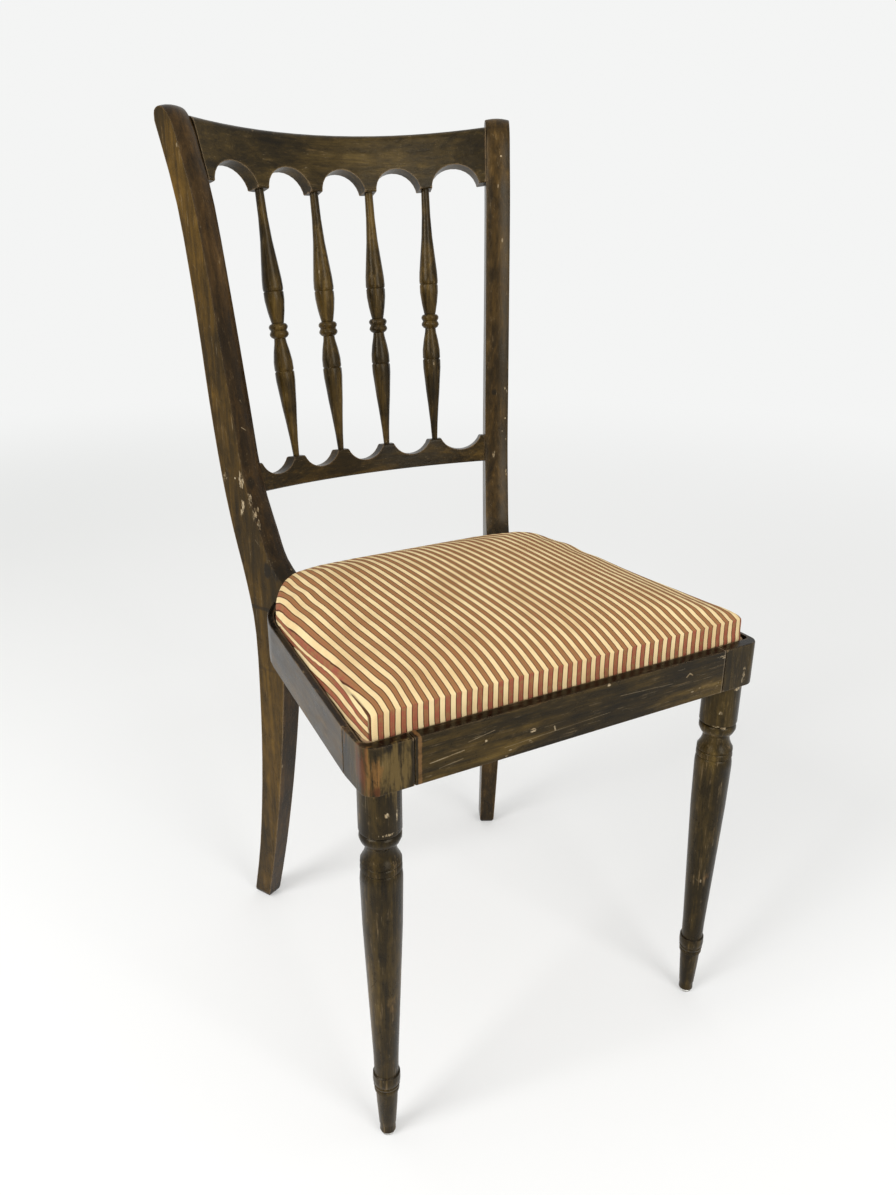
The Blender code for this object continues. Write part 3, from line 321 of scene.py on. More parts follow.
    # fine scratches along the grain and slanting across it
    scratch = g.noise(g.stretch(p, (1500, 1500, 36)), 2, 0.5)
    slant = g.add("VectorRotate", {"Vector": p, "Axis": (0.6, 0.5, 0.3), "Angle": 0.9})
    slanted = g.noise(g.stretch(slant.outputs[0], (1300, 1300, 50)), 2, 0.5)
    scratch = g.math("MAXIMUM", g.smooth(scratch, 0.67, 0.72), g.smooth(slanted, 0.70, 0.74))
    scratch = g.math("MULTIPLY", scratch, g.smooth(mottle, 0.46, 0.60))
    colour = g.mix(g.math("MULTIPLY", scratch, 0.50), colour, SCRATCH)

    # chips: a few small dots anywhere, and those that the photograph shows
    crumbs = g.noise(g.stretch(p, (800, 800, 260)), 3, 0.7)
    cells = g.add("TexVoronoi", {"Vector": g.stretch(p, (260, 260, 110)), "Scale": 1.0,
                                 "Randomness": 1.0})
    lucky = g.add("SeparateColor", {0: cells.outputs["Color"]}).outputs[0]
    dot = g.math("LESS_THAN", cells.outputs["Distance"],
                 g.math("MULTIPLY", g.smooth(lucky, 0.93, 1.0), 0.28))
    chip = g.math("MULTIPLY", g.math("MULTIPLY", dot, g.smooth(patches, 0.52, 0.60)), 0.50)
    for centre, size, amount in flakes:
        spot = g.blob(place, centre, size, 0.55)
        flake = g.math("MULTIPLY_ADD", spot, amount, g.math("MULTIPLY", ragged, 0.6))
        flake = g.math("MULTIPLY_ADD", crumbs, 0.9, flake)
        flake = g.math("MULTIPLY", g.smooth(flake, 1.10, 1.26), g.smooth(spot, 0.0, 0.3))
        chip = g.math("MAXIMUM", chip, flake)
    for start, end, half, amount in strokes:
        line = g.stroke(place, start, end, half)
        line = g.math("MULTIPLY", g.smooth(g.math("MULTIPLY_ADD", ragged, 0.8, line), 0.95, 1.3),
                      amount)
        chip = g.math("MAXIMUM", chip, line)
    bare = g.mix(g.smooth(fine, 0.35, 0.65), CHIP_DARK, CHIP_PALE)
    colour = g.mix(chip, colour, bare)

    for normal, distance, half, shade, amount in bands:
        off = g.math("SUBTRACT", g.vector("DOT_PRODUCT", place, normal), distance)
        off = g.math("MULTIPLY_ADD", g.math("SUBTRACT", ragged, 0.5), half * 1.6,
                     g.math("ABSOLUTE", off))
        part = g.math("MULTIPLY", g.smooth(off, half * 1.2, half * 0.7), amount)
        patchy = g.math("MULTIPLY_ADD", g.smooth(mottle, 0.36, 0.56), 0.5, 0.5)
        part = g.math("MULTIPLY", part, patchy)
        colour = g.mix(part, colour, (*shade, 1))

    rough = g.math("MULTIPLY_ADD", mottle, 0.30, 0.15)
    rough = g.math("MULTIPLY_ADD", worn, 0.16, rough)
    rough = g.math("MULTIPLY_ADD", chip, 0.3, rough)
    height = g.math("MULTIPLY_ADD", figure, 0.3, g.math("MULTIPLY", fine, 0.30))
    height = g.math("MULTIPLY_ADD", chip, -0.9, height)
    height = g.math("MULTIPLY_ADD", scratch, -0.3, height)
    height = g.math("MULTIPLY_ADD", mottle, 0.7, height)
    bump = g.add("Bump", {"Strength": 0.40, "Distance": 0.0007, "Height": height})
    return g.surface(colour, rough, bump.outputs[0], specular=WOOD_SPECULAR,
                     specular_tint=WOOD_SHEEN)


def bare_wood(name, colour):
    """Unfinished wood, seen only from below."""
    g = Graph(name)
    p = along_x(g, g.add("TexCoord").outputs["Object"])
    streak = g.noise(g.stretch(p, (160, 160, 8)), 4, 0.6, 0.4)
    dark = tuple(0.45 * c for c in colour)
    tint = g.mix(g.smooth(streak, 0.35, 0.65), (*dark, 1), (*colour, 1))
    bump = g.add("Bump", {"Strength": 0.3, "Distance": 0.0005, "Height": streak})
    return g.surface(tint, 0.8, bump.outputs[0], specular=0.3)


def metal(name, colour, roughness):
    """Dull old steel with faint stains."""
    g = Graph(name)
    p = g.add("TexCoord").outputs["Object"]
    spots = g.noise(g.stretch(p, (500, 500, 500)), 3, 0.6)
    dark = tuple(0.4 * c for c in colour)
    tint = g.mix(g.smooth(spots, 0.4, 0.7), (*colour, 1), (*dark, 1))
    return g.surface(tint, g.math("MULTIPLY_ADD", spots, 0.3, roughness), metallic=1.0)


def cloth():
    """Striped cotton: cream and terracotta bands, each with a thin dark edge line.

    "stripe" holds the distance across the cloth, measured over the top and down the sides, and
    "front" the plain distance across.  "fold" is how far inside the folded edge a point lies:
    the second is used there, and "pinch" is how dark the painted shade along the fold is, fading
    behind the corner.
    """
    g = Graph("striped_cloth")
    place = g.add("TexCoord").outputs["Object"]
    values = {}
    for name in ("stripe", "front", "length", "fold", "pinch"):
        values[name] = g.add("Attribute", attribute_name=name).outputs["Fac"]
    inner = g.math("GREATER_THAN", values["fold"], 0.0)
    across = g.blend(inner, values["stripe"], values["front"])

    wobble = g.noise(g.stretch(place, (26, 12, 26)), 2, 0.5)
    weave = g.noise(g.stretch(place, (1400, 1400, 1400)), 1, 0.5)
    across = g.math("MULTIPLY_ADD", g.math("SUBTRACT", wobble, 0.5), 0.0016, across)
    across = g.math("MULTIPLY_ADD", g.math("SUBTRACT", weave, 0.5), 0.0004, across)
    turn = g.math("SUBTRACT", across, STRIPE_AT - 0.23 * STRIPE)
    turn = g.math("FRACT", g.math("DIVIDE", turn, STRIPE))
    soft = 0.020
    cream_end, red_start, red_end = 0.455, 0.535, 0.935       # shares of a period
    cream = g.math("MULTIPLY", g.smooth(turn, 0.0, soft),
                   g.smooth(turn, cream_end + soft, cream_end))
    band = g.math("MULTIPLY", g.smooth(turn, red_start, red_start + soft),
                  g.smooth(turn, red_end, red_end - soft))
    middle = g.smooth(g.math("ABSOLUTE", g.math("SUBTRACT", turn, 0.735)), 0.045, 0.015)

    up = g.add("SeparateXYZ", {0: g.add("NewGeometry").outputs["Normal"]}).outputs[2]
    top = g.smooth(up, 0.45, 0.97)
    threads = g.math("SINE", g.math("MULTIPLY", across, 2 * math.pi / WARP))
    cross = g.math("SINE", g.math("MULTIPLY", values["length"], 2 * math.pi / WEFT))
    grid = g.math("MULTIPLY", threads, cross)
    blotch = g.noise(g.stretch(place, (22, 22, 22)), 4, 0.6)
    worn = g.noise(g.stretch(place, (160, 160, 160)), 4, 0.7)
    # painted sheen: the red is tanner on faces that point up
    red = g.mix(top, BRICK_RED, TOP_SHEEN_RED)
    red = g.mix(g.smooth(worn, 0.42, 0.66), red, FADED_RED)
    red = g.mix(g.math("MULTIPLY", middle, 0.22), red, RED_CORE)
    pale = g.mix(g.smooth(blotch, 0.35, 0.7), CREAM, SOILED_CREAM)
    colour = g.mix(cream, EDGE_LINE, pale)
    colour = g.mix(band, colour, red)
    twill = g.math("SINE", g.math("MULTIPLY", g.math("ADD", across, values["length"]),
                                  2 * math.pi / TWILL))
    dull = g.math("MULTIPLY_ADD", grid, 0.06, g.math("MULTIPLY_ADD", twill, 0.055, 0.94))
    dull = g.math("MULTIPLY_ADD", g.math("SUBTRACT", blotch, 0.5), -0.16, dull)
    # painted shade: a thin dark line along each fold, fading behind the corner
    fold_shade = g.smooth(g.math("ABSOLUTE", values["fold"]), 0.0011, 0.0002)
    dull = g.math("MULTIPLY_ADD", g.math("MULTIPLY", fold_shade, values["pinch"]), -0.62, dull)
    colour = g.mix(1.0, colour, g.add("CombineColor", {0: dull, 1: dull, 2: dull}).outputs[0],
                   "MULTIPLY")
    height = g.math("MULTIPLY_ADD", grid, 0.5, g.math("MULTIPLY", weave, 0.5))
    bump = g.add("Bump", {"Strength": 0.25, "Distance": 0.0003, "Height": height})
    return g.surface(colour, 0.85, bump.outputs[0], specular=0.15)


# The cushion

def side_turn():
    """Turn of the seat's straight side in plan, from the block's corner to the round."""
    run_x = FRAME_HALF - CORNER_X
    run_y = CORNER_Y - (LEG_Y + BLOCK_BACK)
    return math.atan2(run_x, run_y) - math.asin(CORNER_R / math.hypot(run_x, run_y))


SIDE_TURN = side_turn()


def pulled(y):
    """How much further in the side stands near the front corners: PULL (1 - behind / 30 mm)^2.2."""
    gap = np.clip(1 - (np.asarray(y, float) - (FRONT_Y + FRONT_INSET)) / 0.030, 0, 1)
    return CORNER_PULL * gap ** 2.2


def side_x(y, inset):
    """Half width of the cushion at y, on a line set in from the frame's outer face.

    The line is x = CORNER_X + (CORNER_R - inset - (y - CORNER_Y) sin turn) / cos turn, less what
    the cloth is pulled in.
    """
    reach = CORNER_R - inset
    line = CORNER_X + (reach - (y - CORNER_Y) * math.sin(SIDE_TURN)) / math.cos(SIDE_TURN)
    return line - pulled(y)


def behind_corner(y, start, reach):
    """0 at the front corner, rising to 1 at start + reach behind it."""
    t = np.clip((np.asarray(y, float) - (FRONT_Y + FRONT_INSET + start)) / reach, 0, 1)
    return t * t * (3 - 2 * t)


def round_of(y):
    """Radius of the cushion's upper edge at the sides: sharp at the front, soft behind."""
    return EDGE_SHARP + (EDGE_SOFT - EDGE_SHARP) * behind_corner(y, 0.060, 0.100)


def lean_of(y):
    """How far the top of the cushion's side leans in: nothing at the corner and far behind."""
    return SIDE_LEAN * behind_corner(y, 0.0, 0.060) * (1 - behind_corner(y, 0.090, 0.110))


def seat_plan(inset, count):
    """count even points round the outline, from the middle of the front, to the right.

    The half outline is the straight front, a quarter round, the straight side and the round rear
    corner.  It is mirrored and sampled at equal steps of its length.
    """
    y = FRONT_Y + FRONT_INSET
    turn = 0.0042
    half = [(0.0, y)]
    x = float(side_x(y + turn, 0.0)) - inset
    for i in range(7):
        a = -math.pi / 2 + math.pi / 2 * i / 6
        half.append((x - turn + turn * math.cos(a), y + turn + turn * math.sin(a)))
    for t in np.linspace(0.02, 1, 30):
        py = y + turn + (CORNER_Y + CORNER_R * math.sin(SIDE_TURN) - y - turn) * t
        half.append((float(side_x(py, inset)), py))
    for i in range(1, 41):
        a = SIDE_TURN + (math.pi / 2 - SIDE_TURN) * i / 40
        half.append((CORNER_X + (CORNER_R - inset) * math.cos(a),
                     CORNER_Y + (CORNER_R - inset) * math.sin(a)))
    half.append((0.0, CORNER_Y + CORNER_R - inset))
    line = np.array(half + [(-px, py) for px, py in reversed(half[1:-1])] + [half[0]])
    steps = np.hypot(*np.diff(line, axis=0).T)
    far = np.concatenate([[0], np.cumsum(steps)])
    at = np.linspace(0, far[-1], count, endpoint=False)
    return np.stack([np.interp(at, far, line[:, 0]), np.interp(at, far, line[:, 1])], 1)


def crown(x, y):
    """Height of the cushion's top above its edge at a place.

    With f = CROWN (1 - |(y - middle) / b|^p), p being 3 to the front and 2 to the back, and
    g = CROWN (1 - |x / a|^2.4), both above 0, the rise is (f^-4 + g^-4)^(-1/4).
    """
    front = FRONT_Y + FRONT_INSET
    back = CORNER_Y + CORNER_R - SIDE_INSET
    middle = (front + back) / 2 + 0.012
    b = np.where(y < middle, middle - front, back - middle)
    a = side_x(np.minimum(y, CORNER_Y), SIDE_INSET)
    power = np.where(y < middle, 3.0, 2.0)
    over_x = np.clip(1 - np.abs(x / a) ** 2.4, 1e-4, 1)
    over_y = np.clip(1 - np.abs((y - middle) / b) ** power, 1e-4, 1)
    return SEAT_CROWN * (over_x ** -4 + over_y ** -4) ** -0.25


def closed_form():
    """The cushion's plan carried up a section: flat bottom, upright sides, a rounded edge whose
    radius grows to the back, and the crown over all.

    A point is outline + facing * inward; on the rounded edge inward = lean + r (1 - cos a) and
    z = SEAT_EDGE - r + (r + crown) sin a.  Inside it the plan shrinks towards its middle.
    """
    count = OUTLINE_POINTS
    outline = seat_plan(SIDE_INSET, count)
    middle = np.array([0.0, (FRONT_Y + CORNER_Y + CORNER_R) / 2])
    facing = np.roll(outline, -1, axis=0) - np.roll(outline, 1, axis=0)
    facing = np.column_stack([-facing[:, 1], facing[:, 0]])
    facing /= np.linalg.norm(facing, axis=1, keepdims=True)
    at_front = outline[:, 1] < FRONT_Y + FRONT_INSET + 0.0012
    radius = np.where(at_front, EDGE_SHARP, round_of(outline[:, 1]))
    lean = np.where(at_front, 0, lean_of(outline[:, 1]))
    rows = []
    for inward, z in ((0.030, SEAT_BOTTOM), (0.004, SEAT_BOTTOM), (0.0006, SEAT_BOTTOM + 0.0020),
                      (0.0, RAIL_TOP)):
        rows.append(np.column_stack([outline + facing * inward, np.full(count, z)]))
    for part in (0.33, 0.66):
        z = RAIL_TOP + (SEAT_EDGE - radius - RAIL_TOP) * part
        rows.append(np.column_stack([outline + facing * (lean * part)[:, None], z]))
    for a in np.linspace(0, math.pi / 2, 9):
        plan = outline + facing * (lean + radius * (1 - math.cos(a)))[:, None]
        z = SEAT_EDGE - radius + radius * math.sin(a)
        z = z + crown(plan[:, 0], plan[:, 1]) * math.sin(a)
        rows.append(np.column_stack([plan, z]))
    inner = rows[-1][:, :2]
    for scale in (0.98, 0.95, 0.91, 0.86, 0.80, 0.72, 0.6, 0.46, 0.3, 0.14):
        plan = middle + (inner - middle) * scale
        rows.append(np.column_stack([plan, SEAT_EDGE + crown(plan[:, 0], plan[:, 1])]))
    base = rows[0].copy()
    base[:, :2] = middle + (base[:, :2] - middle) * 0.3
    rows.insert(0, base)
    top = SEAT_EDGE + float(crown(middle[:1], middle[1:])[0])
    verts = np.concatenate(rows + [[[*middle, SEAT_BOTTOM]], [[*middle, top]]])
    faces = []
    for r in range(len(rows) - 1):
        for i in range(count):
            k = (i + 1) % count
            faces.append((r * count + i, r * count + k, (r + 1) * count + k, (r + 1) * count + i))
    low, high = len(rows) * count, len(rows) * count + 1
    last = (len(rows) - 1) * count
    for i in range(count):
        k = (i + 1) % count
        faces.append((k, i, low))
        faces.append((last + i, last + k, high))
    mesh = bpy.data.meshes.new("cushion")
    mesh.from_pydata(verts.tolist(), [], faces)
    thing = bpy.data.objects.new("cushion", mesh)
    bpy.context.scene.collection.objects.link(thing)
    return thing


def apply_all(thing):
    """Keep a piece as its modifiers show it."""
    bpy.context.view_layer.update()
    seen = thing.evaluated_get(bpy.context.evaluated_depsgraph_get())
    mesh = bpy.data.meshes.new_from_object(seen)
    thing.modifiers.clear()
    thing.data = mesh


def places(mesh):
    co = np.empty(len(mesh.vertices) * 3)
    mesh.vertices.foreach_get("co", co)
    return co.reshape(-1, 3)


def simulate(thing):
    """Blow the cloth up a little from inside, then limit how far it has moved."""
    before = places(thing.data)
    pinned = thing.vertex_groups.new(name="held")
    low = [i for i in range(len(before)) if before[i, 2] < RAIL_TOP + 0.001]
    pinned.add(low, 1.0, "REPLACE")
    sim = thing.modifiers.new("cloth", "CLOTH")
    sim.settings.quality = 6
    sim.settings.mass = 0.15
    sim.settings.tension_stiffness = 12
    sim.settings.compression_stiffness = 12
    sim.settings.bending_stiffness = 0.3
    sim.settings.use_pressure = True
    sim.settings.uniform_pressure_force = 4
    sim.settings.vertex_group_mass = "held"
    sim.settings.effector_weights.gravity = 0
    sim.collision_settings.use_self_collision = False
    sim.point_cache.frame_start = 1
    sim.point_cache.frame_end = CLOTH_FRAMES
    for step in range(1, CLOTH_FRAMES + 1):
        bpy.context.scene.frame_set(step)
    seen = thing.evaluated_get(bpy.context.evaluated_depsgraph_get())
    after = places(seen.data)
    thing.modifiers.clear()
    bpy.context.scene.frame_set(1)
    move = after - before
    size = np.linalg.norm(move, axis=1, keepdims=True)
    move *= CLOTH_MOVE / np.maximum(size, CLOTH_MOVE)
    thing.data.vertices.foreach_set("co", (before + move).ravel())
    thing.data.update()


def fold_line(y):
    """Half width, at y, of the line along which the cloth was folded at each front corner."""
    front = FRONT_Y + FRONT_INSET
    corner = float(side_x(front + 0.003, SIDE_INSET)) - 0.0016
    return corner - FOLD_SLOPE * (np.asarray(y, float) - front)


def sharpen(co):
    """Draw the front's top edge out to a crisp one.

    With a and b the depths behind the front face and below the top edge, both are cut to
    1 - 0.6 exp(-((a - b) / w)^2) of themselves.
    """
    a = co[:, 1] - (FRONT_Y + FRONT_INSET)
    b = SEAT_EDGE - co[:, 2]
    reach = 0.0060
    near = (a > -0.001) & (b > -0.001) & (a < reach) & (b < reach)
    inside = np.clip((fold_line(co[:, 1]) - np.abs(co[:, 0])) / 0.012, 0, 1)
    cut = 0.6 * np.exp(-((a - b) / (reach / 2)) ** 2) * near * inside
    out = co.copy()
    out[:, 1] -= np.maximum(a, 0) * cut
    out[:, 2] += np.maximum(b, 0) * cut
    return out


def crease(co):
    """Folds of the cloth at the front corners, where it was pulled round the board.

    Each is a valley or ridge h exp(-(across / w)^2) along a line, fading with distance from the
    corner.
    """
    front = FRONT_Y + FRONT_INSET
    move = np.zeros_like(co)
    behind = co[:, 1] - front
    high = np.clip((co[:, 2] - (SEAT_EDGE - 0.010)) / 0.004, 0, 1)
    for shift, spread, wide, tall, reach in (
            (0.0, 0.0, 0.0022, -0.0012, FOLD_REACH), (-0.005, 0.02, 0.0030, 0.0007, 0.090),
            (-0.012, 0.16, 0.0045, -0.0007, 0.080), (-0.022, 0.30, 0.0050, 0.0005, 0.070)):
        line = fold_line(co[:, 1]) + shift - spread * behind
        across = np.abs(co[:, 0]) - line
        fade = np.clip(behind / 0.006, 0, 1) * np.clip(1 - behind / reach, 0, 1)
        move[:, 2] += tall * fade * high * np.exp(-(across / wide) ** 2)
    ripple = np.sin(co[:, 1] * 2 * math.pi / 0.052 + 1.3)
    edge = np.clip((np.abs(co[:, 0]) - (fold_line(co[:, 1]) - 0.045)) / 0.035, 0, 1)
    edge = edge * np.clip((co[:, 1] + 0.06) / 0.05, 0, 1) * high
    move[:, 2] += 0.0008 * ripple * edge
    return co + move


def cloth_places(thing):
    """Store how far across and along the cloth each point lies.

    Over a rounded edge of radius r the distance is |x| + r (angle - sin angle) + drop
    tan(steep / 2), with sin angle = (|x| - (half - r)) / r and steep the side's own slope.  It
    runs along the fold instead of straight back: |x| is cut by the fold's slope times the way
    ahead of its far end, eased in.
    """
    co = places(thing.data)
    front = FRONT_Y + FRONT_INSET
    y = co[:, 1]
    half = side_x(y, SIDE_INSET)
    rest = np.maximum((CORNER_R - SIDE_INSET) ** 2 - (y - CORNER_Y) ** 2, 1e-9)
    lean = lean_of(y)
    half = np.where(y > CORNER_Y, CORNER_X + np.sqrt(rest), half) - lean
    r = round_of(y)
    away = np.abs(co[:, 0])
    sine = np.clip((away - (half - r)) / r, 0, 1)
    angle = np.arcsin(sine)
    drop = np.maximum((SEAT_EDGE - r) - co[:, 2], 0) * (sine > 0)
    steep = np.arctan2(SEAT_EDGE - r - RAIL_TOP, lean)
    over = r * (angle - sine) + drop * np.tan(steep / 2)
    far = front + FOLD_REACH
    line = fold_line(y)
    ease = 0.050
    ahead = np.maximum(far - y, 0)
    pulled_out = np.where(ahead < ease, ahead ** 2 / (2 * ease), ahead - ease / 2)
    turned = away - FOLD_SLOPE * pulled_out
    stripe = np.sign(co[:, 0]) * (turned + over)
    fold = line - away
    # how dark the painted shade along the fold is
    pinch = np.clip(1 - (y - front) / (0.75 * FOLD_REACH), 0, 1) ** 0.7
    fold = np.where(y > far, -1.0, fold)
    down = np.maximum(SEAT_EDGE - co[:, 2], 0)
    length = y - np.where(y < front + 0.01, down, 0)
    for name, values in (("stripe", stripe), ("front", co[:, 0]), ("length", length),
                         ("fold", fold), ("pinch", pinch)):
        layer = thing.data.attributes.new(name, "FLOAT", "POINT")
        layer.data.foreach_set("value", np.ascontiguousarray(values, dtype=np.float32))


def make_cushion():
    """The striped drop-in cushion, simulated as inflated cloth."""
    thing = closed_form()
    remesh = thing.modifiers.new("even", "REMESH")
    remesh.mode = "VOXEL"
    remesh.voxel_size = VOXEL
    apply_all(thing)
    simulate(thing)
    fine = thing.modifiers.new("fine", "SUBSURF")
    fine.levels = 1
    fine.render_levels = 1
    apply_all(thing)
    co = crease(sharpen(places(thing.data)))
    thing.data.vertices.foreach_set("co", co.ravel())
    cloth_places(thing)
    thing.data.shade_smooth()
    thing.data.materials.clear()
    thing.data.materials.append(cloth())
    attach(thing, "root")
    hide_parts("seat_cushion")


def smooth_copy(name, material):
    """A copy of a wooden CAD node with its facets joined up and its rounds shaded smooth."""
    source = NODES[name]
    mesh = source.data.copy()
    mesh.name = name + "_wood"
    work = bmesh.new()
    work.from_mesh(mesh)
    bmesh.ops.remove_doubles(work, verts=work.verts, dist=2e-6)
    work.to_mesh(mesh)
    work.free()
    if "custom_normal" in mesh.attributes:
        mesh.attributes.remove(mesh.attributes["custom_normal"])
    mesh.shade_smooth()
    mesh.set_sharp_from_angle(angle=math.radians(SHARP_TURN))
    thing = bpy.data.objects.new(name + "_wood", mesh)
    bpy.context.scene.collection.objects.link(thing)
    even = thing.modifiers.new("even", "WEIGHTED_NORMAL")
    even.keep_sharp = True
    apply_all(thing)
    thing.data.materials.clear()
    thing.data.materials.append(material)
    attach(thing, "root")
    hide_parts(name)


def dress(names, material):
    for name in names:
        NODES[name].data.materials.clear()
        NODES[name].data.materials.append(material)


def dress_wood():
    """Finish of every varnished piece, with the marks that the photograph shows.

    The face tints are painted light on the left post's outer face and painted shade on the upper faces
    of the seat frame.
    """
    # painted light on the left post's outer face, painted shade on the seat frame's upper faces
    painted_light_side = ((-0.9, -0.44, 0.0), (1.60, 1.62, 0.70))
    painted_shade_top = ((0, 0, 1), (0.16, 0.11, 0.10))
    left = wood(
        "varnish_post_left", seed=1.0, tint=(0.98, 0.86, 0.80), rub=-0.06, streaks=0.12,
        contrast=0.75, sides=[painted_light_side],
        flakes=[((-0.1655, 0.1348, 0.5460), (0.0045, 0.0045, 0.0110), 0.46),
                ((-0.1653, 0.1349, 0.5185), (0.0022, 0.0030, 0.0085), 0.46),
                ((-0.1668, 0.1370, 0.5100), (0.0016, 0.0025, 0.0060), 0.42),
                ((-0.1600, 0.1262, 0.5270), (0.0028, 0.0035, 0.0120), 0.42),
                ((-0.1575, 0.1222, 0.5120), (0.0028, 0.0035, 0.0110), 0.46),
                ((-0.1545, 0.1185, 0.4985), (0.0026, 0.0035, 0.0120), 0.40),
                ((-0.1530, 0.1240, 0.5150), (0.0016, 0.0020, 0.0050), 0.40),
                ((-0.1752, 0.1549, 0.5443), (0.0050, 0.0060, 0.0080), 0.33)],
        strokes=[((-0.1692, 0.1428, 0.5465), (-0.1692, 0.1428, 0.5462), 0.0011, 1.0),
                 ((-0.1590, 0.1400, 0.5995), (-0.1545, 0.1415, 0.5960), 0.0006, 0.6),
                 ((-0.1560, 0.1420, 0.5930), (-0.1600, 0.1395, 0.5860), 0.0005, 0.4),
                 ((-0.1569, 0.1446, 0.6269), (-0.1530, 0.1460, 0.6180), 0.0005, 0.4),
                 ((-0.1735, 0.1450, 0.6600), (-0.1655, 0.1390, 0.5750), 0.0005, 0.5)],
        # the first stain is painted shade and a painted dark reflection at the post's foot, just above
        # the cushion
        stains=[((-0.1470, 0.1040, 0.4500), (0.013, 0.013, 0.0085), GRIME_AND_SHADE, 0.9),
                ((-0.1560, 0.1300, 0.5420), (0.006, 0.006, 0.0070), GRIME_AND_SHADE, 0.8)],
        bands=[((0, 0, 1), 0.404, 0.0022, GRIME_AND_SHADE, 0.75), ((0, 0, 1), 0.330, 0.0016, GRIME_AND_SHADE, 0.3)])
    right = wood(
        "varnish_post_right", seed=2.0, tint=(1.02, 0.95, 0.80), rub=-0.04, streaks=0.25,
        contrast=0.85,
        flakes=[((0.1462, 0.1341, 0.5364), (0.0030, 0.0030, 0.0050), 0.40),
                ((0.1570, 0.1232, 0.5142), (0.0020, 0.0030, 0.0090), 0.38)],
        strokes=[((0.1768, 0.1816, 0.8630), (0.1768, 0.1816, 0.8629), 0.0012, 1.0),
                 ((0.1608, 0.1400, 0.6190), (0.1636, 0.1406, 0.6105), 0.0006, 0.7),
                 ((0.1668, 0.1415, 0.6190), (0.1636, 0.1406, 0.6105), 0.0006, 0.7),
                 ((0.1620, 0.1363, 0.5776), (0.1620, 0.1363, 0.5774), 0.0011, 1.0)],
        # the first stain is painted shade and a painted dark reflection at the post's foot, just above
        # the cushion
        stains=[((0.1470, 0.1040, 0.4500), (0.013, 0.013, 0.0085), GRIME_AND_SHADE, 0.9),
                ((0.1511, 0.1448, 0.6078), (0.0028, 0.0028, 0.0034), GRIME_AND_SHADE, 0.9)])
    near = wood(
        "varnish_leg_left", seed=3.0, tone=-0.008, tint=(0.96, 1.02, 0.90), rub=0.01, streaks=0.50,
        sides=[painted_shade_top],
        flakes=[((-0.1878, -0.2474, 0.3665), (0.0026, 0.0026, 0.0034), 0.52),
                ((-0.1783, -0.2461, 0.3640), (0.0012, 0.0020, 0.0110), 0.42),
                ((-0.1740, -0.2455, 0.3660), (0.0010, 0.0020, 0.0090), 0.40),
                ((-0.1855, -0.2500, 0.3480), (0.0160, 0.0100, 0.0016), 0.36)],
        stains=[((-0.1850, -0.2480, 0.4080), (0.0230, 0.012, 0.026), HONEY, 0.75),
                ((-0.2067, -0.2411, 0.4150), (0.0050, 0.008, 0.024), BRICK, 0.75),
                ((-0.1985, -0.2494, 0.4080), (0.0060, 0.008, 0.024), AMBER, 0.80),
                ((-0.1985, -0.2494, 0.3930), (0.0050, 0.006, 0.007), OXBLOOD, 0.85)])
    far = wood(
        "varnish_leg_right", seed=4.0, tone=-0.018, tint=(0.95, 1.02, 0.88), rub=0.00, streaks=0.45,
        sides=[painted_shade_top],
        flakes=[((0.1895, -0.2500, 0.4020), (0.0028, 0.0060, 0.0130), 0.42),
                ((0.1890, -0.2480, 0.3850), (0.0080, 0.0060, 0.0024), 0.46),
                ((0.1717, -0.2410, 0.3440), (0.0040, 0.0040, 0.0022), 0.50),
                ((0.1783, -0.2440, 0.3430), (0.0030, 0.0040, 0.0022), 0.50),
                ((0.1736, -0.2433, 0.3600), (0.0022, 0.0030, 0.0022), 0.46)])
    rail = wood(
        "varnish_front_rail", along_x, seed=5.0, tone=0.010, tint=(0.95, 0.97, 0.66), rub=0.0,
        streaks=0.35, sides=[painted_shade_top],
        flakes=[((-0.0522, -0.2508, 0.4085), (0.0040, 0.0020, 0.0024), 0.42),
                ((0.0262, -0.2505, 0.4310), (0.0022, 0.0030, 0.0014), 0.55),
                ((0.1590, -0.2508, 0.4270), (0.0080, 0.0030, 0.0024), 0.42)],
        strokes=[((-0.1505, -0.2508, 0.4055), (-0.1190, -0.2508, 0.4085), 0.0005, 0.50),
                 ((-0.1420, -0.2508, 0.3985), (-0.1200, -0.2508, 0.4010), 0.0004, 0.30),
                 ((-0.1150, -0.2508, 0.4150), (-0.0900, -0.2508, 0.4190), 0.0004, 0.35),
                 ((-0.0985, -0.2508, 0.4112), (-0.0980, -0.2508, 0.4112), 0.0011, 1.0),
                 ((0.1165, -0.2508, 0.4165), (0.1200, -0.2508, 0.4195), 0.0007, 0.7),
                 ((0.1200, -0.2508, 0.4195), (0.1235, -0.2508, 0.4170), 0.0007, 0.7),
                 ((-0.0300, -0.2508, 0.4060), (-0.0290, -0.2508, 0.4020), 0.0008, 0.6),
                 ((-0.0800, -0.2508, 0.3995), (0.0300, -0.2508, 0.4035), 0.0003, 0.22),
                 ((0.0400, -0.2508, 0.4170), (0.1000, -0.2508, 0.4140), 0.0003, 0.22)],
        bands=[((1, 0, 0), -0.1622, 0.0008, GRIME_AND_SHADE, 0.95),
               ((1, 0, 0), -0.1594, 0.0017, (0.180, 0.092, 0.034), 0.70),
               ((1, 0, 0), 0.1622, 0.0007, (0.16, 0.12, 0.08), 0.55)])
    chair = {"post_left": left, "post_right": right, "front_leg_left": near,
             "front_leg_right": far, "front_rail": rail}
    chair["crest_rail"] = wood("varnish_crest", along_x, seed=6.0, tone=-0.010,
                               tint=(0.95, 1.02, 0.92), rub=-0.05, streaks=0.15, contrast=0.8)
    chair["lower_back_rail"] = wood("varnish_lower_rail", along_x, seed=7.0, tone=0.004,
                                    tint=(1.02, 0.98, 0.66), rub=-0.03, streaks=0.25)
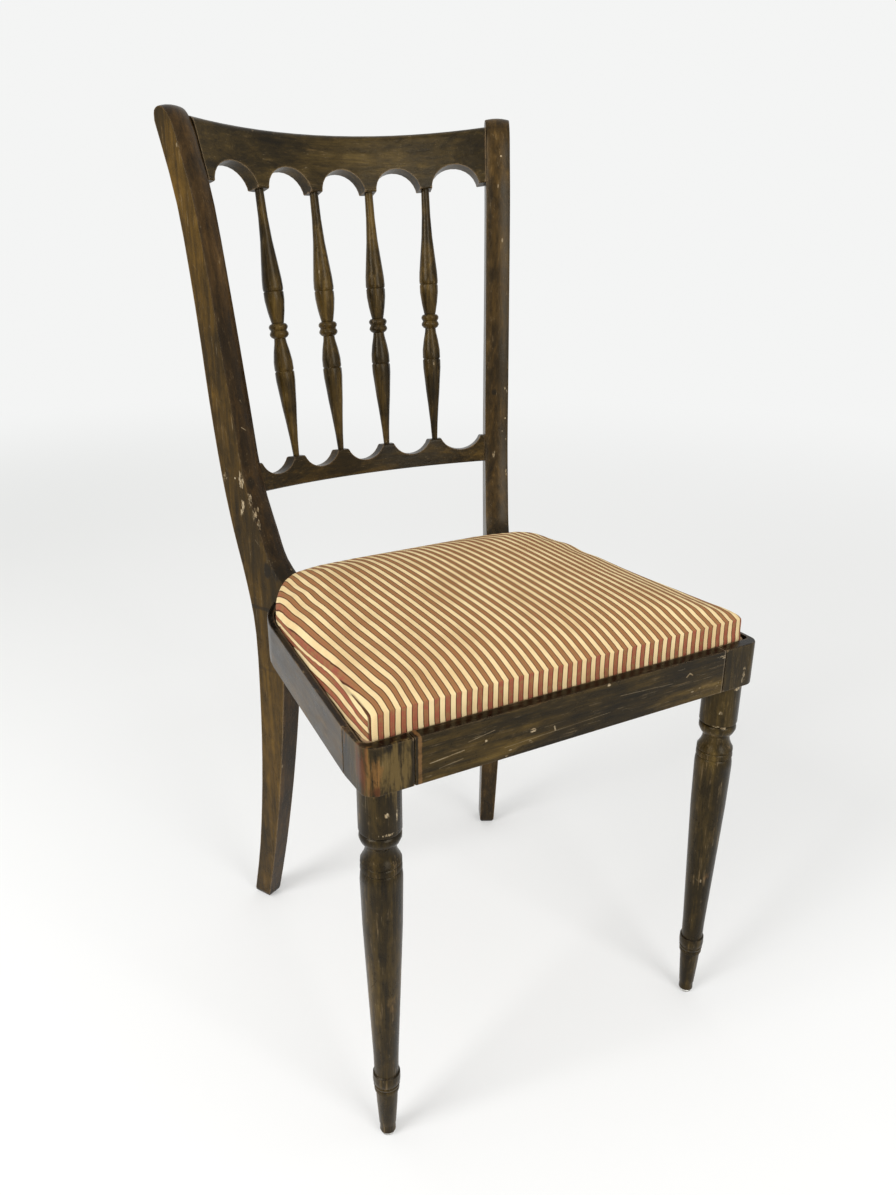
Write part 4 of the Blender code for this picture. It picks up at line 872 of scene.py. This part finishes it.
    chair["seat_hoop"] = wood("varnish_hoop", along_hoop, seed=8.0, tone=0.014,
                              tint=(1.0, 1.0, 1.05), streaks=0.3, sides=[painted_shade_top])
    for i in range(1, 5):
        chair["spindle_%d" % i] = wood("varnish_spindle_%d" % i, seed=8.0 + i, tone=0.012,
                                       tint=(1.02, 1.02, 0.75), rub=-0.04, streaks=0.3)
    for name, material in chair.items():
        smooth_copy(name, material)


def dress_rest():
    """Finish of the pieces that are seen from below or are only a few millimetres large."""
    plain = bare_wood("bare_wood", (0.34, 0.22, 0.12))
    dress(["seat_board", "corner_brace_left", "corner_brace_right"], plain)
    dress([n for n in NODES if "screw" in n], metal("screw_steel", (0.45, 0.40, 0.30), 0.35))
    dress(["glide_left", "glide_right"], metal("glide_steel", (0.50, 0.49, 0.46), 0.25))


def place_camera():
    """Put the camera where the photograph was taken from."""
    yaw, pitch, roll = CAMERA_YAW, CAMERA_PITCH, CAMERA_ROLL
    ahead = Vector((math.sin(yaw) * math.cos(pitch), math.cos(yaw) * math.cos(pitch),
                    -math.sin(pitch)))
    right = Vector((math.cos(yaw), -math.sin(yaw), 0))
    up = right.cross(ahead)
    turned_right = math.cos(roll) * right + math.sin(roll) * up
    turned_up = math.cos(roll) * up - math.sin(roll) * right
    data = bpy.data.cameras.new("camera")
    data.sensor_fit = "HORIZONTAL"
    data.sensor_width = SENSOR
    data.lens = FOCAL_PIXELS * SENSOR / PHOTO_WIDTH
    data.clip_start = 0.05
    data.clip_end = 60
    camera = bpy.data.objects.new("camera", data)
    bpy.context.scene.collection.objects.link(camera)
    turn = Matrix((turned_right, turned_up, -ahead)).transposed()
    place = Vector(CAMERA_PLACE) + Vector((0, LEG_Y, 0))
    camera.matrix_world = Matrix.Translation(place) @ turn.to_4x4()
    bpy.context.scene.camera = camera


def window_light(name, place, aim, size, power):
    """A soft light as large as a window, size being its width and height."""
    data = bpy.data.lights.new(name, "AREA")
    data.shape = "RECTANGLE"
    data.size, data.size_y = size
    data.energy = power
    lamp = bpy.data.objects.new(name, data)
    bpy.context.scene.collection.objects.link(lamp)
    lamp.location = place
    lamp.rotation_euler = (Vector(aim) - Vector(place)).to_track_quat("-Z", "Y").to_euler()


def build_studio():
    """Pale floor that fades into the backdrop, soft light from above and two soft lamps.

    Camera, mirror and see-through rays meet the backdrop's colour; all others meet the plain
    floor and the world's own light.
    """
    bpy.ops.mesh.primitive_plane_add(size=60, location=(0, 0, 0))
    floor = bpy.context.object
    floor.name = "floor"
    g = Graph("floor_white")
    place = g.add("TexCoord").outputs["Object"]
    tint = g.mix(g.noise(g.stretch(place, (1.2, 1.2, 1.2)), 2, 0.5), (0.87, 0.87, 0.865, 1),
                 (0.90, 0.90, 0.895, 1))
    diffuse = g.add("BsdfDiffuse", {"Color": tint})
    across = g.vector("DOT_PRODUCT", place, (0.869, -0.494, 0))
    away = g.vector("LENGTH", place)
    dusk = g.math("MULTIPLY", g.smooth(across, -0.1, -1.4), g.smooth(away, 3.6, 1.4))
    glow_tint = g.mix(dusk, BACKDROP, DUSK)
    glow = g.add("Emission", {"Color": glow_tint, "Strength": 1.0})
    path = g.add("LightPath")
    seen = g.math("MAXIMUM", path.outputs["Is Camera Ray"], path.outputs["Is Glossy Ray"])
    seen = g.math("MAXIMUM", seen, path.outputs["Is Transmission Ray"])
    share = g.math("MULTIPLY_ADD", g.smooth(away, 0.7, 3.4), 0.70, 0.30)
    both = g.add("MixShader", {0: g.math("MULTIPLY", seen, share), 1: diffuse.outputs[0],
                               2: glow.outputs[0]})
    out = g.add("OutputMaterial")
    g.tree.links.new(both.outputs[0], out.inputs[0])
    floor.data.materials.append(g.material)

    world = bpy.data.worlds.new("studio")
    bpy.context.scene.world = world
    world.use_nodes = True
    tree = world.node_tree
    tree.nodes.clear()

    def add(kind, **settings):
        node = tree.nodes.new("ShaderNode" + kind)
        for key, value in settings.items():
            setattr(node, key, value)
        return node

    light = add("Background")
    light.inputs["Color"].default_value = (1.0, 1.0, 0.985, 1)
    where = add("TexCoord")
    apart = add("SeparateXYZ")
    high = add("MapRange")
    for key, value in (("From Min", -0.1), ("From Max", 0.9), ("To Min", WORLD_LOW),
                       ("To Max", WORLD_HIGH)):
        high.inputs[key].default_value = value
    tree.links.new(where.outputs["Generated"], apart.inputs[0])
    tree.links.new(apart.outputs["Z"], high.inputs["Value"])
    tree.links.new(high.outputs[0], light.inputs["Strength"])
    backdrop = add("Background")
    backdrop.inputs["Color"].default_value = BACKDROP
    paths = add("LightPath")
    either = add("Math", operation="MAXIMUM")
    tree.links.new(paths.outputs["Is Camera Ray"], either.inputs[0])
    tree.links.new(paths.outputs["Is Transmission Ray"], either.inputs[1])
    shown = add("Math", operation="MAXIMUM")
    tree.links.new(either.outputs[0], shown.inputs[0])
    tree.links.new(paths.outputs["Is Glossy Ray"], shown.inputs[1])
    choice = add("MixShader")
    tree.links.new(shown.outputs[0], choice.inputs[0])
    tree.links.new(light.outputs[0], choice.inputs[1])
    tree.links.new(backdrop.outputs[0], choice.inputs[2])
    tree.links.new(choice.outputs[0], add("OutputWorld").inputs[0])

    window_light("left", (-2.6, -0.5, 2.0), LAMP_AIM, (1.3, 1.6), 62)
    window_light("front", (0.35, -2.9, 1.75), LAMP_AIM, (1.4, 1.9), 46)
    bpy.context.scene.view_settings.view_transform = "Standard"


def main():
    dress_wood()
    dress_rest()
    make_cushion()
    build_studio()
    place_camera()


main()
